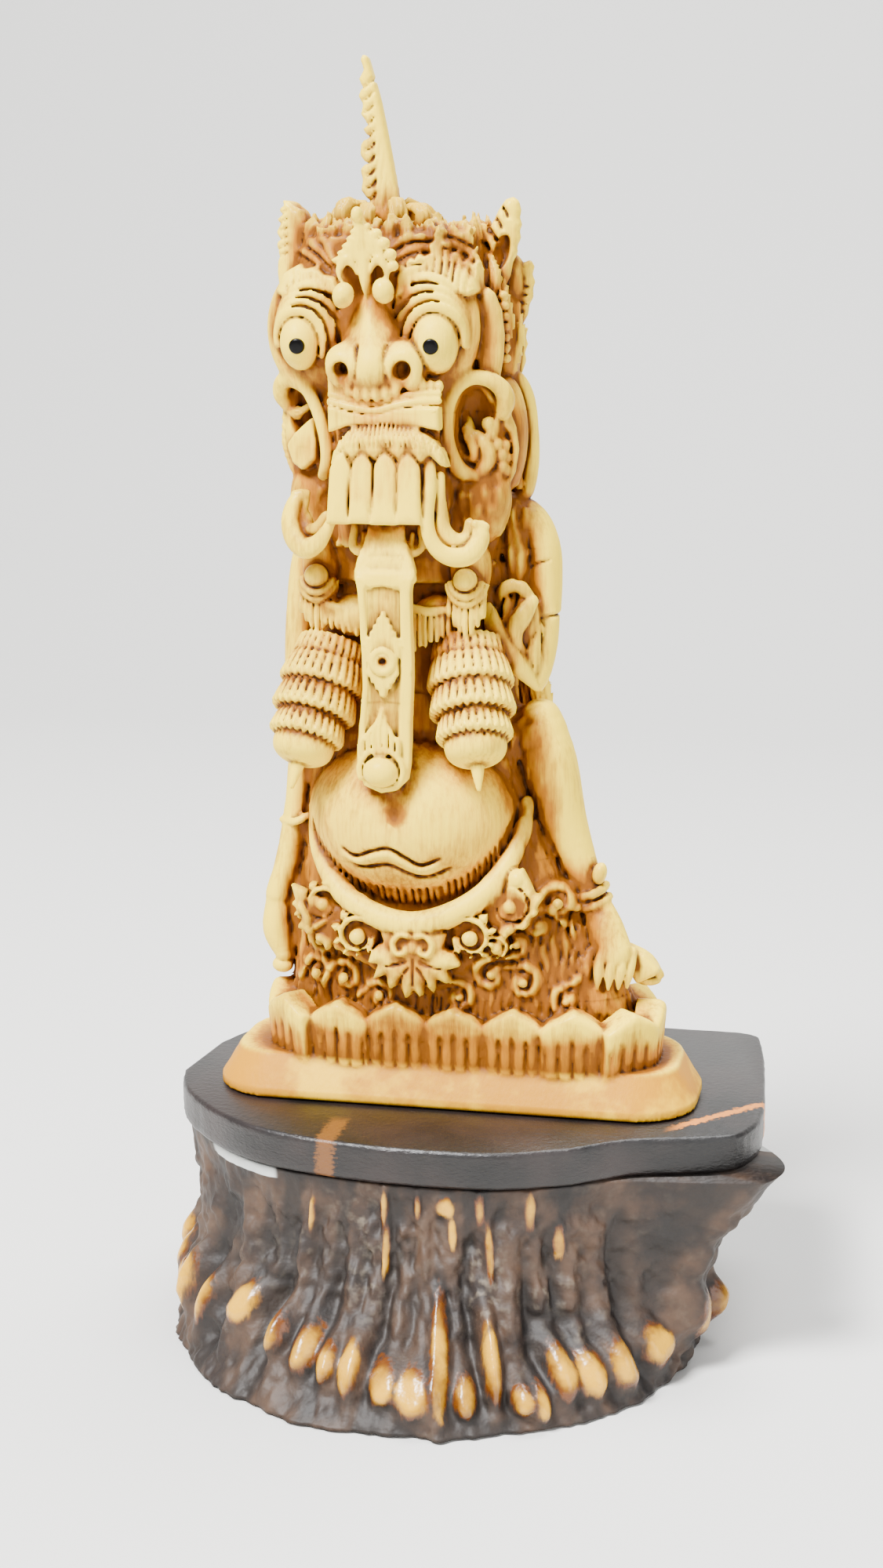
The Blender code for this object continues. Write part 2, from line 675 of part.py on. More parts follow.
def peg(name, centre, radius, start, end, dome, finish):
    """A round peg along the pupil's direction, from start below the eye's surface to end above it."""
    surface, direction = pupil_frame(centre)
    turn = direction.to_track_quat("Z", "Y").to_matrix()
    sides = 16
    levels = [(start, radius), (end, radius)]
    if dome:
        levels += [(end + dome * 0.7, radius * 0.72)]
    rings = []
    for height, reach in levels:
        ring = []
        for side in range(sides):
            angle = 2 * math.pi * side / sides
            spoke = turn @ Vector((math.cos(angle) * reach, math.sin(angle) * reach, height))
            ring.append(surface + spoke)
        rings.append(ring)
    shapes = bmesh.new()
    loft(shapes, rings)
    return new_object(name, shapes, finish)


def carved_figure(finish):
    """All the carving as one solid, evened out and lightened, on its plinth."""
    shapes = bmesh.new()
    for carve in (trunk, crown, forehead, eyes, nose, mouth, ears, tongue, breasts, belly, arms, legs, mane, lotus):
        carve(shapes)
    rough = new_object("carving_shapes", shapes, None)
    even = rough.modifiers.new("even", "REMESH")
    even.mode = "VOXEL"
    even.voxel_size = CARVING_GRAIN
    graph = bpy.context.evaluated_depsgraph_get()
    mesh = bpy.data.meshes.new_from_object(rough.evaluated_get(graph))
    bpy.data.objects.remove(rough)
    mesh.name = "carved_figure"
    mesh.materials.clear()
    mesh.materials.append(finish)
    figure = bpy.data.objects.new("carved_figure", mesh)
    bpy.context.collection.objects.link(figure)
    lighten = figure.modifiers.new("lighten", "DECIMATE")
    lighten.ratio = FIGURE_FACES / (2 * len(mesh.polygons))
    lighten.use_collapse_triangulate = True
    add_boolean(figure, plinth_block(), "UNION")
    return figure


def pupils(figure, finish):
    """Black pegs set into sockets in the eyes."""
    for name, centre in zip(("left_pupil", "right_pupil"), eye_centres()):
        radius = PUPIL_DIAMETER / 2
        depth = PUPIL_DEPTH - PUPIL_DOME
        socket = peg(name + "_socket", centre, radius + GAP, -depth - GAP, 3 * MM, 0, None)
        hide_cutter(socket)
        add_boolean(figure, socket, "DIFFERENCE")
        peg(name, centre, radius, -depth, 0.05 * MM, PUPIL_DOME, finish)


def slab_outline(grow=0):
    """The slab's uneven outline: full at the back, drawn in at the front right, as x and y."""
    corners = (
        (-0.5, -0.07), (-0.44, -0.25), (-0.3, -0.42), (-0.11, -0.485), (0.085, -0.484), (0.207, -0.423),
        (0.295, -0.34), (0.42, -0.285), (0.47, -0.24), (0.495, -0.115), (0.485, 0.148), (0.465, 0.397),
        (0.437, 0.485), (0.29, 0.495), (-0.05, 0.5), (-0.28, 0.46), (-0.42, 0.338), (-0.49, 0.13),
    )
    closed = corners[-1:] + corners + corners[:2]
    rows = smooth_path([(x, y, 0) for x, y in closed], 3)[3:-4]
    outline = []
    for row in rows:
        outline.append(Vector((SLAB_X + row.x * SLAB_LENGTH, SLAB_Y + row.y * SLAB_DEPTH, 0)))
    if not grow:
        return outline
    moved = []
    for index, point in enumerate(outline):
        along = (outline[(index + 1) % len(outline)] - outline[index - 1]).normalized()
        moved.append(point + Vector((along.y, -along.x, 0)) * grow)
    return moved


def slab(finish):
    shapes = bmesh.new()
    rings = []
    for z, grow in ((0, -SLAB_EDGE), (SLAB_EDGE, 0), (SLAB_THICKNESS - SLAB_EDGE, 0), (SLAB_THICKNESS, -SLAB_EDGE)):
        rings.append([point + UP * (SLAB_Z + z) for point in slab_outline(grow)])
    loft(shapes, rings)
    return new_object("dark_slab", shapes, finish)


def reach_at(outline, angle):
    """How far an outline round the origin reaches in one direction."""
    direction = Vector((math.cos(angle), math.sin(angle), 0))
    side = Vector((-direction.y, direction.x, 0))
    best = 0
    for start, end in zip(outline, outline[1:] + outline[:1]):
        low, high = start.dot(side), end.dot(side)
        if low * high > 0 or low == high:
            continue
        crossing = start + (end - start) * (low / (low - high))
        best = max(best, crossing.dot(direction))
    return best


def burr(finish):
    """The antler's coronet: a pearled rim on the ground, a ridged wall and a flare up to the slab."""
    sides = 4 * PEARLS
    under = slab_outline(-BURR_INSET)
    rings = []
    for level in (0, 0.06, 0.15, 0.26, 0.4, 0.6, 0.82, 1):
        ring = []
        for side in range(sides):
            angle = 2 * math.pi * side / sides
            ridge = RIDGE_HEIGHT * math.sin(RIDGES * angle + 1.3 * math.sin(3 * angle))
            pearl = PEARL_SIZE * abs(math.sin(PEARLS * angle / 2 + 0.4 * math.sin(5 * angle)))
            top = min(reach_at(under, angle), BURR_RADIUS)
            rim = BURR_RADIUS - PEARL_SIZE
            reach = top + (rim - top) * (1 - level) ** 1.6 - BURR_WAIST * math.sin(math.pi * level)
            from_flare = math.remainder(angle + math.radians(9), 2 * math.pi)
            reach += BURR_FLARE * level**2.5 * math.exp(-((from_flare / 0.25) ** 2))
            reach += pearl * math.exp(-(((level - 0.1) / 0.11) ** 2))
            reach += ridge * math.sin(math.pi * min(1, level + 0.15)) * min(1, 4 * level)
            if level == 0:
                reach -= PEARL_SIZE * 0.7
            ring.append(Vector((reach * math.cos(angle), reach * math.sin(angle), level * BURR_HEIGHT)))
        rings.append(ring)
    shapes = bmesh.new()
    loft(shapes, rings)
    return new_object("antler_burr", shapes, finish)


def main():
    clear_scene()
    antler = material("carved_antler", (0.78, 0.58, 0.33), 0.45)
    horn = material("black_horn", (0.012, 0.01, 0.01), 0.25)
    dark_wood = material("dark_wood", (0.03, 0.022, 0.02), 0.5)
    bark = material("antler_bark", (0.12, 0.07, 0.04), 0.7)
    figure = carved_figure(antler)
    pupils(figure, horn)
    slab(dark_wood)
    burr(bark)


main()
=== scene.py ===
"""The finished look of the carved figure on its slab and antler burr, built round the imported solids.

Metres, +Z up, the figure facing -Y. The carving is worked in carving millimetres, measured from the
middle of the plinth's underside, in a grid of distances that is added to and cut like a block of antler.
"""

import math

import bmesh
import bpy
import numpy as np
import openvdb
from bpy.props import FloatProperty, FloatVectorProperty, IntProperty, PointerProperty
from mathutils import Euler, Matrix, Vector


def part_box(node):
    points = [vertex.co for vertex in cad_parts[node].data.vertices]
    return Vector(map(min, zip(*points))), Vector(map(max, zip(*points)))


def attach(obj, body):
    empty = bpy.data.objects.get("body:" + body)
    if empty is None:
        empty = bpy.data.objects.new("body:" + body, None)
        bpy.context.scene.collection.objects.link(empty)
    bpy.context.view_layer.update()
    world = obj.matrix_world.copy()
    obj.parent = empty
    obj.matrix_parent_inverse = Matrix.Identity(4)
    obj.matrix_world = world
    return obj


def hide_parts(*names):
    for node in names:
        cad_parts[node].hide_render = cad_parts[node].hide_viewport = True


bl_info = {
    "name": "Carved antler figure",
    "version": (1, 0, 0),
    "blender": (4, 5, 0),
    "location": "3D View > Sidebar > Carving",
    "description": "Builds the carved figure, its pupils, slab, antler burr and studio",
    "category": "Object",
}

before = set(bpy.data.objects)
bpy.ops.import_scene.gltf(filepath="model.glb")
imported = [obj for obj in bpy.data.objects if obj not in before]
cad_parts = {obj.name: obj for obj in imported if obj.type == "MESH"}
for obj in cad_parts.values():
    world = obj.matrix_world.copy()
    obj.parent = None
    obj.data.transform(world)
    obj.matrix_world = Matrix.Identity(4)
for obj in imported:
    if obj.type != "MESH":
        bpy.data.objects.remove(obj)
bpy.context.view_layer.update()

MM = 0.001
FIGURE_PLACE = Vector((3.0 * MM, 4.0 * MM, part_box("carved_figure")[0].z))
FIGURE_BOX = [(np.array(corner) - np.array(FIGURE_PLACE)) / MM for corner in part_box("carved_figure")]
FAR = 2.5
GRID_LOW = (-33.5, -17.0, -0.8)
GRID_HIGH = (31.5, 14.0, 131.0)
FRONT = np.array((0.0, -1.0, 0.0))
BACK_FADE = 0.8
CROWN_MIDDLE = (-9.4, 0.7)


def unit(vector):
    vector = np.asarray(vector, float)
    return vector / max(np.linalg.norm(vector), 1e-9)


def smooth_path(rows, steps):
    """Points along a smooth curve through rows of numbers, steps to each span."""
    rows = np.asarray(rows, float)
    if len(rows) < 3:
        shares = np.linspace(0, 1, steps + 1)[:, None]
        return rows[0] * (1 - shares) + rows[-1] * shares
    ends = np.vstack([2 * rows[0] - rows[1], rows, 2 * rows[-1] - rows[-2]])
    path = []
    for index in range(1, len(ends) - 2):
        before, start, end, after = ends[index - 1 : index + 3]
        for step in range(steps):
            t = step / steps
            bend = 2 * before - 5 * start + 4 * end - after
            twist = 3 * start - before - 3 * end + after
            path.append(0.5 * (2 * start + (end - before) * t + bend * t**2 + twist * t**3))
    path.append(rows[-1])
    return np.array(path)


def spread(values, count):
    """A short list of sizes as count sizes, evened out along the path."""
    values = np.atleast_1d(np.asarray(values, float))
    return np.interp(np.linspace(0, 1, count), np.linspace(0, 1, len(values)), values)


def smooth_less(first, second, blend):
    """The lesser of two distances with a fillet of about blend where they meet."""
    if blend <= 0:
        return np.minimum(first, second)
    share = np.clip(0.5 + 0.5 * (first - second) / blend, 0, 1)
    return first + (second - first) * share - blend * share * (1 - share)


def ease(values, low, high):
    """0 below low, 1 above high, and smooth between."""
    t = np.clip((values - low) / (high - low), 0, 1)
    return t * t * (3 - 2 * t)


def outline_distance(outline, u, v):
    """Signed distance to a closed outline, less than 0 inside, for arrays of places on its plane."""
    outline = np.asarray(outline, float)
    best = np.full(np.broadcast(u, v).shape, 1e9)
    inside = np.zeros(best.shape, bool)
    for start, end in zip(outline, np.roll(outline, -1, 0)):
        du, dv = end - start
        t = np.clip(((u - start[0]) * du + (v - start[1]) * dv) / (du * du + dv * dv + 1e-12), 0, 1)
        best = np.minimum(best, (u - start[0] - t * du) ** 2 + (v - start[1] - t * dv) ** 2)
        crosses = (start[1] > v) != (end[1] > v)
        at = start[0] + (v - start[1]) / (dv if abs(dv) > 1e-9 else 1e-9) * du
        inside ^= crosses & (u < at)
    return np.where(inside, -1, 1) * np.sqrt(best)


def line_distance(points, u, v):
    """Distance to an open line, and how far along it the nearest place is, from 0 to 1."""
    points = np.asarray(points, float)
    lengths = np.linalg.norm(np.diff(points, axis=0), axis=1)
    starts = np.concatenate([[0], np.cumsum(lengths)])
    best = np.full(np.broadcast(u, v).shape, 1e9)
    along = np.zeros(best.shape)
    for index, (start, end) in enumerate(zip(points[:-1], points[1:])):
        du, dv = end - start
        t = np.clip(((u - start[0]) * du + (v - start[1]) * dv) / (du * du + dv * dv + 1e-12), 0, 1)
        reach = (u - start[0] - t * du) ** 2 + (v - start[1] - t * dv) ** 2
        nearer = reach < best
        best = np.where(nearer, reach, best)
        along = np.where(nearer, (starts[index] + t * lengths[index]) / starts[-1], along)
    return np.sqrt(best), along


def along_axis(values, axis):
    """A row of numbers laid along one axis of the grid."""
    return np.expand_dims(values, [other for other in range(3) if other != axis])


class Carving:
    """A block of antler as a grid of distances to its surface, in carving millimetres."""

    def __init__(self, grain):
        self.grain = grain
        self.low = np.array(GRID_LOW, float)
        self.counts = np.ceil((np.array(GRID_HIGH) - self.low) / grain).astype(int) + 1
        self.axes = [(self.low[i] + grain * np.arange(self.counts[i])).astype(np.float32) for i in range(3)]
        self.field = np.full(self.counts, FAR, np.float32)
        self.stain = np.zeros(self.counts, np.float16)

    def block(self, low, high, margin=1.3):
        """The part of the grid round a box, with its places along each axis."""
        spans = []
        for axis in range(3):
            start = math.floor((low[axis] - margin - self.low[axis]) / self.grain)
            stop = math.ceil((high[axis] + margin - self.low[axis]) / self.grain) + 1
            start = min(max(start, 0), self.counts[axis] - 1)
            spans.append(slice(start, max(start + 1, min(stop, self.counts[axis]))))
        x, y, z = (self.axes[axis][spans[axis]] for axis in range(3))
        return tuple(spans), x[:, None, None], y[None, :, None], z[None, None, :]

    def add(self, spans, distance, blend=0.0):
        self.field[spans] = smooth_less(self.field[spans], distance, blend)

    def cut(self, spans, distance, blend):
        self.field[spans] = -smooth_less(-self.field[spans], distance, blend)

    def work(self, spans, distance, blend, cut):
        (self.cut if cut else self.add)(spans, distance, blend)

    def column(self, levels, squareness=2.4, blend=0.0):
        """A trunk through level rounded sections, each as x, y, z, half width and half depth."""
        rows = smooth_path(levels, 6)
        reach_x, reach_y = rows[:, 3].max(), rows[:, 4].max()
        low = (rows[:, 0].min() - reach_x, rows[:, 1].min() - reach_y, rows[0, 2])
        high = (rows[:, 0].max() + reach_x, rows[:, 1].max() + reach_y, rows[-1, 2])
        spans, x, y, z = self.block(low, high)
        centre_x, centre_y, half_x, half_y = (np.interp(z, rows[:, 2], rows[:, i]) for i in (0, 1, 3, 4))
        reach = np.abs((x - centre_x) / half_x) ** squareness + np.abs((y - centre_y) / half_y) ** squareness
        distance = (reach ** (1 / squareness) - 1) * np.minimum(half_x, half_y)
        distance = np.maximum(distance, np.maximum(rows[0, 2] - z, z - rows[-1, 2]))
        self.add(spans, distance, blend)

    def egg(self, centre, radii, turn=(0, 0, 0), blend=0.25, cut=False):
        """An egg with three radii, turned by degrees about x, y and z."""
        centre = np.asarray(centre, float)
        radii = np.broadcast_to(np.asarray(radii, float), (3,))
        reach = radii.max() if any(turn) else radii
        spans, x, y, z = self.block(centre - reach, centre + reach)
        x, y, z = x - centre[0], y - centre[1], z - centre[2]
        if any(turn):
            m = np.array(Euler([math.radians(a) for a in turn]).to_matrix()).T
            x, y, z = (m[i, 0] * x + m[i, 1] * y + m[i, 2] * z for i in range(3))
        near = np.sqrt((x / radii[0]) ** 2 + (y / radii[1]) ** 2 + (z / radii[2]) ** 2)
        slope = np.sqrt((x / radii[0] ** 2) ** 2 + (y / radii[1] ** 2) ** 2 + (z / radii[2] ** 2) ** 2)
        self.work(spans, near * (near - 1) / np.maximum(slope, 1e-6), blend, cut)

    def tube(
        self, points, radii, flat=1.0, facing=FRONT, blend=0.25, cut=False, steps=5, strands=0, score=0.15,
        teeth=0, bite=0.3,
    ):
        """A limb along a smooth curve. flat thins it along facing, strands score it lengthwise in so
        many lines, and teeth notch its edges so many times."""
        path = smooth_path(points, steps)
        sizes = smooth_path(np.column_stack([spread(radii, len(points))] * 2), steps)[:, 0]
        flats = spread(flat, len(path))
        most = sizes.max()
        spans, x, y, z = self.block(path.min(0) - most, path.max(0) + most)
        distance = np.full(np.broadcast(x, y, z).shape, FAR, np.float32)
        total = len(path) - 1
        for index in range(total):
            start, end = path[index], path[index + 1]
            run = end - start
            length2 = run @ run
            if length2 < 1e-10:
                continue
            reach = max(sizes[index], sizes[index + 1]) + 1.3
            low, high = np.minimum(start, end) - reach, np.maximum(start, end) + reach
            cells = []
            for axis, places in enumerate((x.ravel(), y.ravel(), z.ravel())):
                first, last = np.searchsorted(places, (low[axis], high[axis]))
                cells.append(slice(max(first, 0), max(last, first + 1)))
            cells = tuple(cells)
            px, py, pz = x[cells[0]] - start[0], y[:, cells[1]] - start[1], z[:, :, cells[2]] - start[2]
            t = np.clip((px * run[0] + py * run[1] + pz * run[2]) / length2, 0, 1)
            qx, qy, qz = px - t * run[0], py - t * run[1], pz - t * run[2]
            radius = sizes[index] + (sizes[index + 1] - sizes[index]) * t
            along = unit(run)
            out = unit(np.asarray(facing, float) - along * (np.asarray(facing, float) @ along))
            side = np.cross(along, out)
            if teeth:
                place = (index + t) / total * teeth
                radius = radius * (1 - bite * (1 - np.abs(2 * (place - np.floor(place)) - 1)) ** 1.5)
            thin = flats[index]
            if thin != 1:
                offset = (qx * out[0] + qy * out[1] + qz * out[2]) * (1 / thin - 1)
                qx, qy, qz = qx + offset * out[0], qy + offset * out[1], qz + offset * out[2]
            near = np.sqrt(qx * qx + qy * qy + qz * qz) - radius
            if thin < 1:
                near = near * (0.5 + 0.5 * thin)
            if strands:
                across = (qx * side[0] + qy * side[1] + qz * side[2]) / np.maximum(radius, 0.2)
                near = near + score * (0.5 + 0.5 * np.cos(math.pi * strands * across))
            distance[cells] = np.minimum(distance[cells], near)
        self.work(spans, distance, blend, cut)

    def plate(
        self, outline, y, thickness, turn=0.0, lean=0.0, dome=0.0, rounding=0.3, blend=0.15, cut=False
    ):
        """A flat piece cut to an outline of x and z. Its middle stands at y, turned by degrees about an
        upright line through it, leaning by lean for each millimetre up, and domed towards its middle."""
        outline = np.asarray(outline, float)
        about = outline[:, 0].mean()
        middle_z = outline[:, 1].mean()
        angle = math.radians(turn)
        reach_x = np.abs(outline[:, 0] - about).max()
        reach_z = np.abs(outline[:, 1] - middle_z).max()
        deep = thickness / 2 + dome + abs(lean) * reach_z + abs(math.sin(angle)) * reach_x
        low = (about - reach_x - thickness * abs(math.sin(angle)), y - deep, outline[:, 1].min())
        high = (about + reach_x + thickness * abs(math.sin(angle)), y + deep, outline[:, 1].max())
        spans, gx, gy, gz = self.block(low, high)
        gy = gy - y - lean * (gz - middle_z)
        if turn:
            u = about + (gx - about) * math.cos(angle) + gy * math.sin(angle)
            deep_at = gy * math.cos(angle) - (gx - about) * math.sin(angle)
        else:
            u, deep_at = gx, gy
        edge = outline_distance(outline, u, gz)
        half = thickness / 2 + (dome * np.sqrt(np.clip(-edge / max(dome * 1.5, 0.1), 0, 1)) if dome else 0)
        flat = np.abs(deep_at) - half
        self.work(spans, -smooth_less(-edge, -flat, rounding), blend, cut)

    def lathe(self, root, tip, reach, widest, blend=0.2):
        """A turned shape about a line. reach gives its radius for a height along it and an angle round it."""
        root, tip = np.asarray(root, float), np.asarray(tip, float)
        along = unit(tip - root)
        length = np.linalg.norm(tip - root)
        side = unit(np.cross(along, FRONT))
        out = np.cross(side, along)
        spans, x, y, z = self.block(np.minimum(root, tip) - widest, np.maximum(root, tip) + widest)
        x, y, z = x - root[0], y - root[1], z - root[2]
        height = x * along[0] + y * along[1] + z * along[2]
        u = x * side[0] + y * side[1] + z * side[2]
        v = x * out[0] + y * out[1] + z * out[2]
        radius = np.sqrt(u * u + v * v)
        distance = radius - reach(height, np.arctan2(u, v))
        distance = np.maximum(distance, np.maximum(-height, height - length))
        self.add(spans, distance * 0.85, blend)

    def window(self, low, high, back):
        """The grid in front of back within a window of x and z: its part, places and strength there."""
        spans, _, y, _ = self.block((low[0], GRID_LOW[1], low[1]), (high[0], back, high[1]), 0)
        u, v = self.axes[0][spans[0]][:, None], self.axes[2][spans[2]][None, :]
        return spans, u, v, (1 - ease(y, back - BACK_FADE, back)).astype(np.float32)

    def groove(self, points, width, depth, back=0.0, steps=5, taper=0.15):
        """A cut along a line of x and z, pressed into whatever stands in front of back."""
        path = smooth_path(points, steps)
        margin = width + 0.3
        spans, u, v, strength = self.window(path.min(0) - margin, path.max(0) + margin, back)
        reach, along = line_distance(path, u, v)
        ends = np.clip(np.minimum(along, 1 - along) / max(taper, 1e-6), 0, 1) ** 0.5
        press = depth * np.clip(1 - (reach / width) ** 2, 0, 1) ** 1.5 * ends
        self.field[spans] += press[:, None, :] * strength

    def relief(self, outline, height, back=0.0, edge=0.3):
        """Raises whatever stands in front of back inside an outline of x and z."""
        outline = np.asarray(outline, float)
        spans, u, v, strength = self.window(outline.min(0) - 0.6, outline.max(0) + 0.6, back)
        inside = 1 - ease(outline_distance(outline, u, v), -edge, edge)
        self.field[spans] -= height * inside[:, None, :] * strength

    def comb(self, outline, pitch, depth, angle=0.0, back=0.0, wave=0.0, fade=0.8, sharp=1.5):
        """Parallel scores inside an outline of x and z, at an angle in degrees from upright."""
        outline = np.asarray(outline, float)
        spans, u, v, strength = self.window(outline.min(0), outline.max(0), back)
        turn = math.radians(angle)
        across = u * math.cos(turn) + v * math.sin(turn)
        down = v * math.cos(turn) - u * math.sin(turn)
        across = across + wave * np.sin(down * 1.3 + 2 * np.sin(across * 0.7))
        line = (0.5 + 0.5 * np.cos(2 * math.pi * across / pitch)) ** sharp
        inside = np.clip(-outline_distance(outline, u, v) / fade, 0, 1)
        press = depth * line * inside
        self.field[spans] += press[:, None, :] * strength

    def fuse(self, item, blend=0.1):
        """Adds a closed mesh object, given in metres at its place, and removes the object."""
        mesh = item.data
        mesh.calc_loop_triangles()
        corners = np.zeros(len(mesh.vertices) * 3, np.float32)
        mesh.vertices.foreach_get("co", corners)
        corners = (corners.reshape(-1, 3) - np.array(FIGURE_PLACE)) / MM
        faces = np.zeros(len(mesh.loop_triangles) * 3, np.int32)
        mesh.loop_triangles.foreach_get("vertices", faces)
        spans, x, y, z = self.block(corners.min(0), corners.max(0), 1.0)
        start = np.array([x.ravel()[0], y.ravel()[0], z.ravel()[0]])
        grid = openvdb.FloatGrid.createLevelSetFromPolygons(
            (corners - start).astype(np.float32),
            triangles=faces.reshape(-1, 3).astype(np.uint32),
            transform=openvdb.createLinearTransform(voxelSize=self.grain),
            halfWidth=4,
        )
        distance = np.zeros([s.stop - s.start for s in spans], np.float32)
        grid.copyToArray(distance)
        self.add(spans, distance, blend)
        bpy.data.objects.remove(item)

    def noise(self, cells, seed):
        """Smooth random values from about -1 to 1 over the whole grid, on cells of three lengths."""
        rng = np.random.default_rng(seed)
        counts = [int((GRID_HIGH[i] - GRID_LOW[i]) / cells[i]) + 3 for i in range(3)]
        values = rng.uniform(-1, 1, counts).astype(np.float32)
        for axis in range(3):
            place = np.arange(self.counts[axis]) * self.grain / cells[axis]
            first = np.minimum(place.astype(int), counts[axis] - 2)
            share = place - first
            share = (share * share * (3 - 2 * share)).astype(np.float32)
            share = along_axis(share, axis)
            values = np.take(values, first, axis) * (1 - share) + np.take(values, first + 1, axis) * share
        return values

    def dye(self, centre, radii, strength):
        """Stains an egg-shaped place, strongest in its middle, or wears it pale where strength is below 0."""
        centre, radii = np.asarray(centre, float), np.asarray(radii, float)
        spans, x, y, z = self.block(centre - radii * 1.6, centre + radii * 1.6, 0)
        reach = ((x - centre[0]) / radii[0]) ** 2 + ((y - centre[1]) / radii[1]) ** 2
        reach = reach + ((z - centre[2]) / radii[2]) ** 2
        share = strength * (1 - ease(reach, 0.3, 2.4))
        stain = self.stain[spans]
        self.stain[spans] = np.maximum(stain, share) if strength > 0 else stain + share


def blur(values, radius):
    """Evens a grid out over a cube of cells, along each axis in turn."""
    for axis in range(3):
        total = np.cumsum(values, axis, dtype=np.float32)
        count = values.shape[axis]
        ahead = np.minimum(np.arange(count) + radius, count - 1)
        behind = np.arange(count) - radius - 1
        low = np.take(total, np.maximum(behind, 0), axis)
        low = low * along_axis(behind >= 0, axis)
        values = (np.take(total, ahead, axis) - low) / (2 * radius + 1)
    return values


def sample(grid, places):
    """Values of a grid between its cells, for places counted in cells."""
    limits = np.array(grid.shape) - 2
    first = np.clip(np.floor(places).astype(int), 0, limits)
    share = (places - first).astype(np.float32)
    result = 0
    for corner in range(8):
        step = np.array([corner & 1, corner >> 1 & 1, corner >> 2 & 1])
        weight = np.prod(np.where(step, share, 1 - share), axis=1)
        cell = first + step
        result = result + weight * grid[cell[:, 0], cell[:, 1], cell[:, 2]]
    return result


def curl(x, y, z, size, turns=1.4, start=0.0, hand=1):
    """Points of a flat spiral that winds in to a middle, from its outer end."""
    points = []
    count = 16
    for index in range(count):
        share = index / (count - 1)
        angle = math.radians(start) + hand * 2 * math.pi * turns * share
        reach = size * (1 - 0.82 * share)
        points.append((x + reach * math.cos(angle), y, z + reach * math.sin(angle)))
    return points


def arc(x, y, z, radius_x, radius_z, start, end, count=9, bow=0.0):
    """Points on an upright oval arc, from one angle to another in degrees, bowed back towards its ends."""
    points = []
    for index in range(count):
        share = index / (count - 1)
        angle = math.radians(start + (end - start) * share)
        points.append(
            (x + radius_x * math.cos(angle), y + bow * (2 * share - 1) ** 2, z + radius_z * math.sin(angle))
        )
    return points


def mirrored(points, about):
    return [(2 * about - x, *rest) for x, *rest in points]


def new_mesh_object(name, corners, faces, place=True):
    """A mesh object from carving millimetres, or from metres where place is off."""
    corners = np.asarray(corners, float)
    if place:
        corners = corners * MM + np.array(FIGURE_PLACE)
    mesh = bpy.data.meshes.new(name)
    mesh.from_pydata(corners.tolist(), [], faces)
    mesh.update()
    item = bpy.data.objects.new(name, mesh)
    bpy.context.scene.collection.objects.link(item)
    return item


def turn_outwards(item):
    shapes = bmesh.new()
    shapes.from_mesh(item.data)
    bmesh.ops.recalc_face_normals(shapes, faces=shapes.faces)
    shapes.to_mesh(item.data)
    shapes.free()


def add_node(tree, kind, links=None, **settings):
    """A node of a tree with its settings, and its inputs by name or number as values or outputs."""
    node = tree.nodes.new(kind)
    for name, value in settings.items():
        setattr(node, name, value)
    for key, value in (links or {}).items():
        socket = node.inputs[key]
        if isinstance(value, bpy.types.NodeSocket):
            tree.links.new(value, socket)
        else:
            socket.default_value = value
    return node


def row_tree():
    """Geometry Nodes that set one item at even steps along a path, turned to follow it."""
    tree = bpy.data.node_groups.new("row_of_items", "GeometryNodeTree")
    sockets = tree.interface
    sockets.new_socket("Path", in_out="INPUT", socket_type="NodeSocketGeometry")
    sockets.new_socket("Item", in_out="INPUT", socket_type="NodeSocketObject")
    count = sockets.new_socket("Count", in_out="INPUT", socket_type="NodeSocketInt")
    count.default_value = 8
    uneven = sockets.new_socket("Unevenness", in_out="INPUT", socket_type="NodeSocketFloat")
    uneven.default_value = 0.1
    sockets.new_socket("Seed", in_out="INPUT", socket_type="NodeSocketInt")
    sockets.new_socket("Material", in_out="INPUT", socket_type="NodeSocketMaterial")
    sockets.new_socket("Items", in_out="OUTPUT", socket_type="NodeSocketGeometry")
    given = add_node(tree, "NodeGroupInput").outputs
    line = add_node(tree, "GeometryNodeMeshToCurve", {"Mesh": given["Path"]})
    stops = add_node(tree, "GeometryNodeResampleCurve", {"Curve": line.outputs[0], "Count": given["Count"]})
    along = add_node(tree, "GeometryNodeInputTangent")
    turned = add_node(
        tree, "FunctionNodeAlignRotationToVector", {"Vector": along.outputs[0]}, axis="X", pivot_axis="Z"
    )
    less = add_node(tree, "ShaderNodeMath", {0: 1.0, 1: given["Unevenness"]}, operation="SUBTRACT")
    more = add_node(tree, "ShaderNodeMath", {0: 1.0, 1: given["Unevenness"]}, operation="ADD")
    range_inputs = {2: less.outputs[0], 3: more.outputs[0], "Seed": given["Seed"]}
    size = add_node(tree, "FunctionNodeRandomValue", range_inputs, data_type="FLOAT")
    item = add_node(tree, "GeometryNodeObjectInfo", {"Object": given["Item"]})
    placed = add_node(
        tree,
        "GeometryNodeInstanceOnPoints",
        {
            "Points": stops.outputs[0],
            "Instance": item.outputs["Geometry"],
            "Rotation": turned.outputs[0],
            "Scale": size.outputs[1],
        },
    )
    real = add_node(tree, "GeometryNodeRealizeInstances", {"Geometry": placed.outputs[0]})
    finish = add_node(
        tree, "GeometryNodeSetMaterial", {"Geometry": real.outputs[0], "Material": given["Material"]}
    )
    add_node(tree, "NodeGroupOutput", {0: finish.outputs[0]})
    return tree


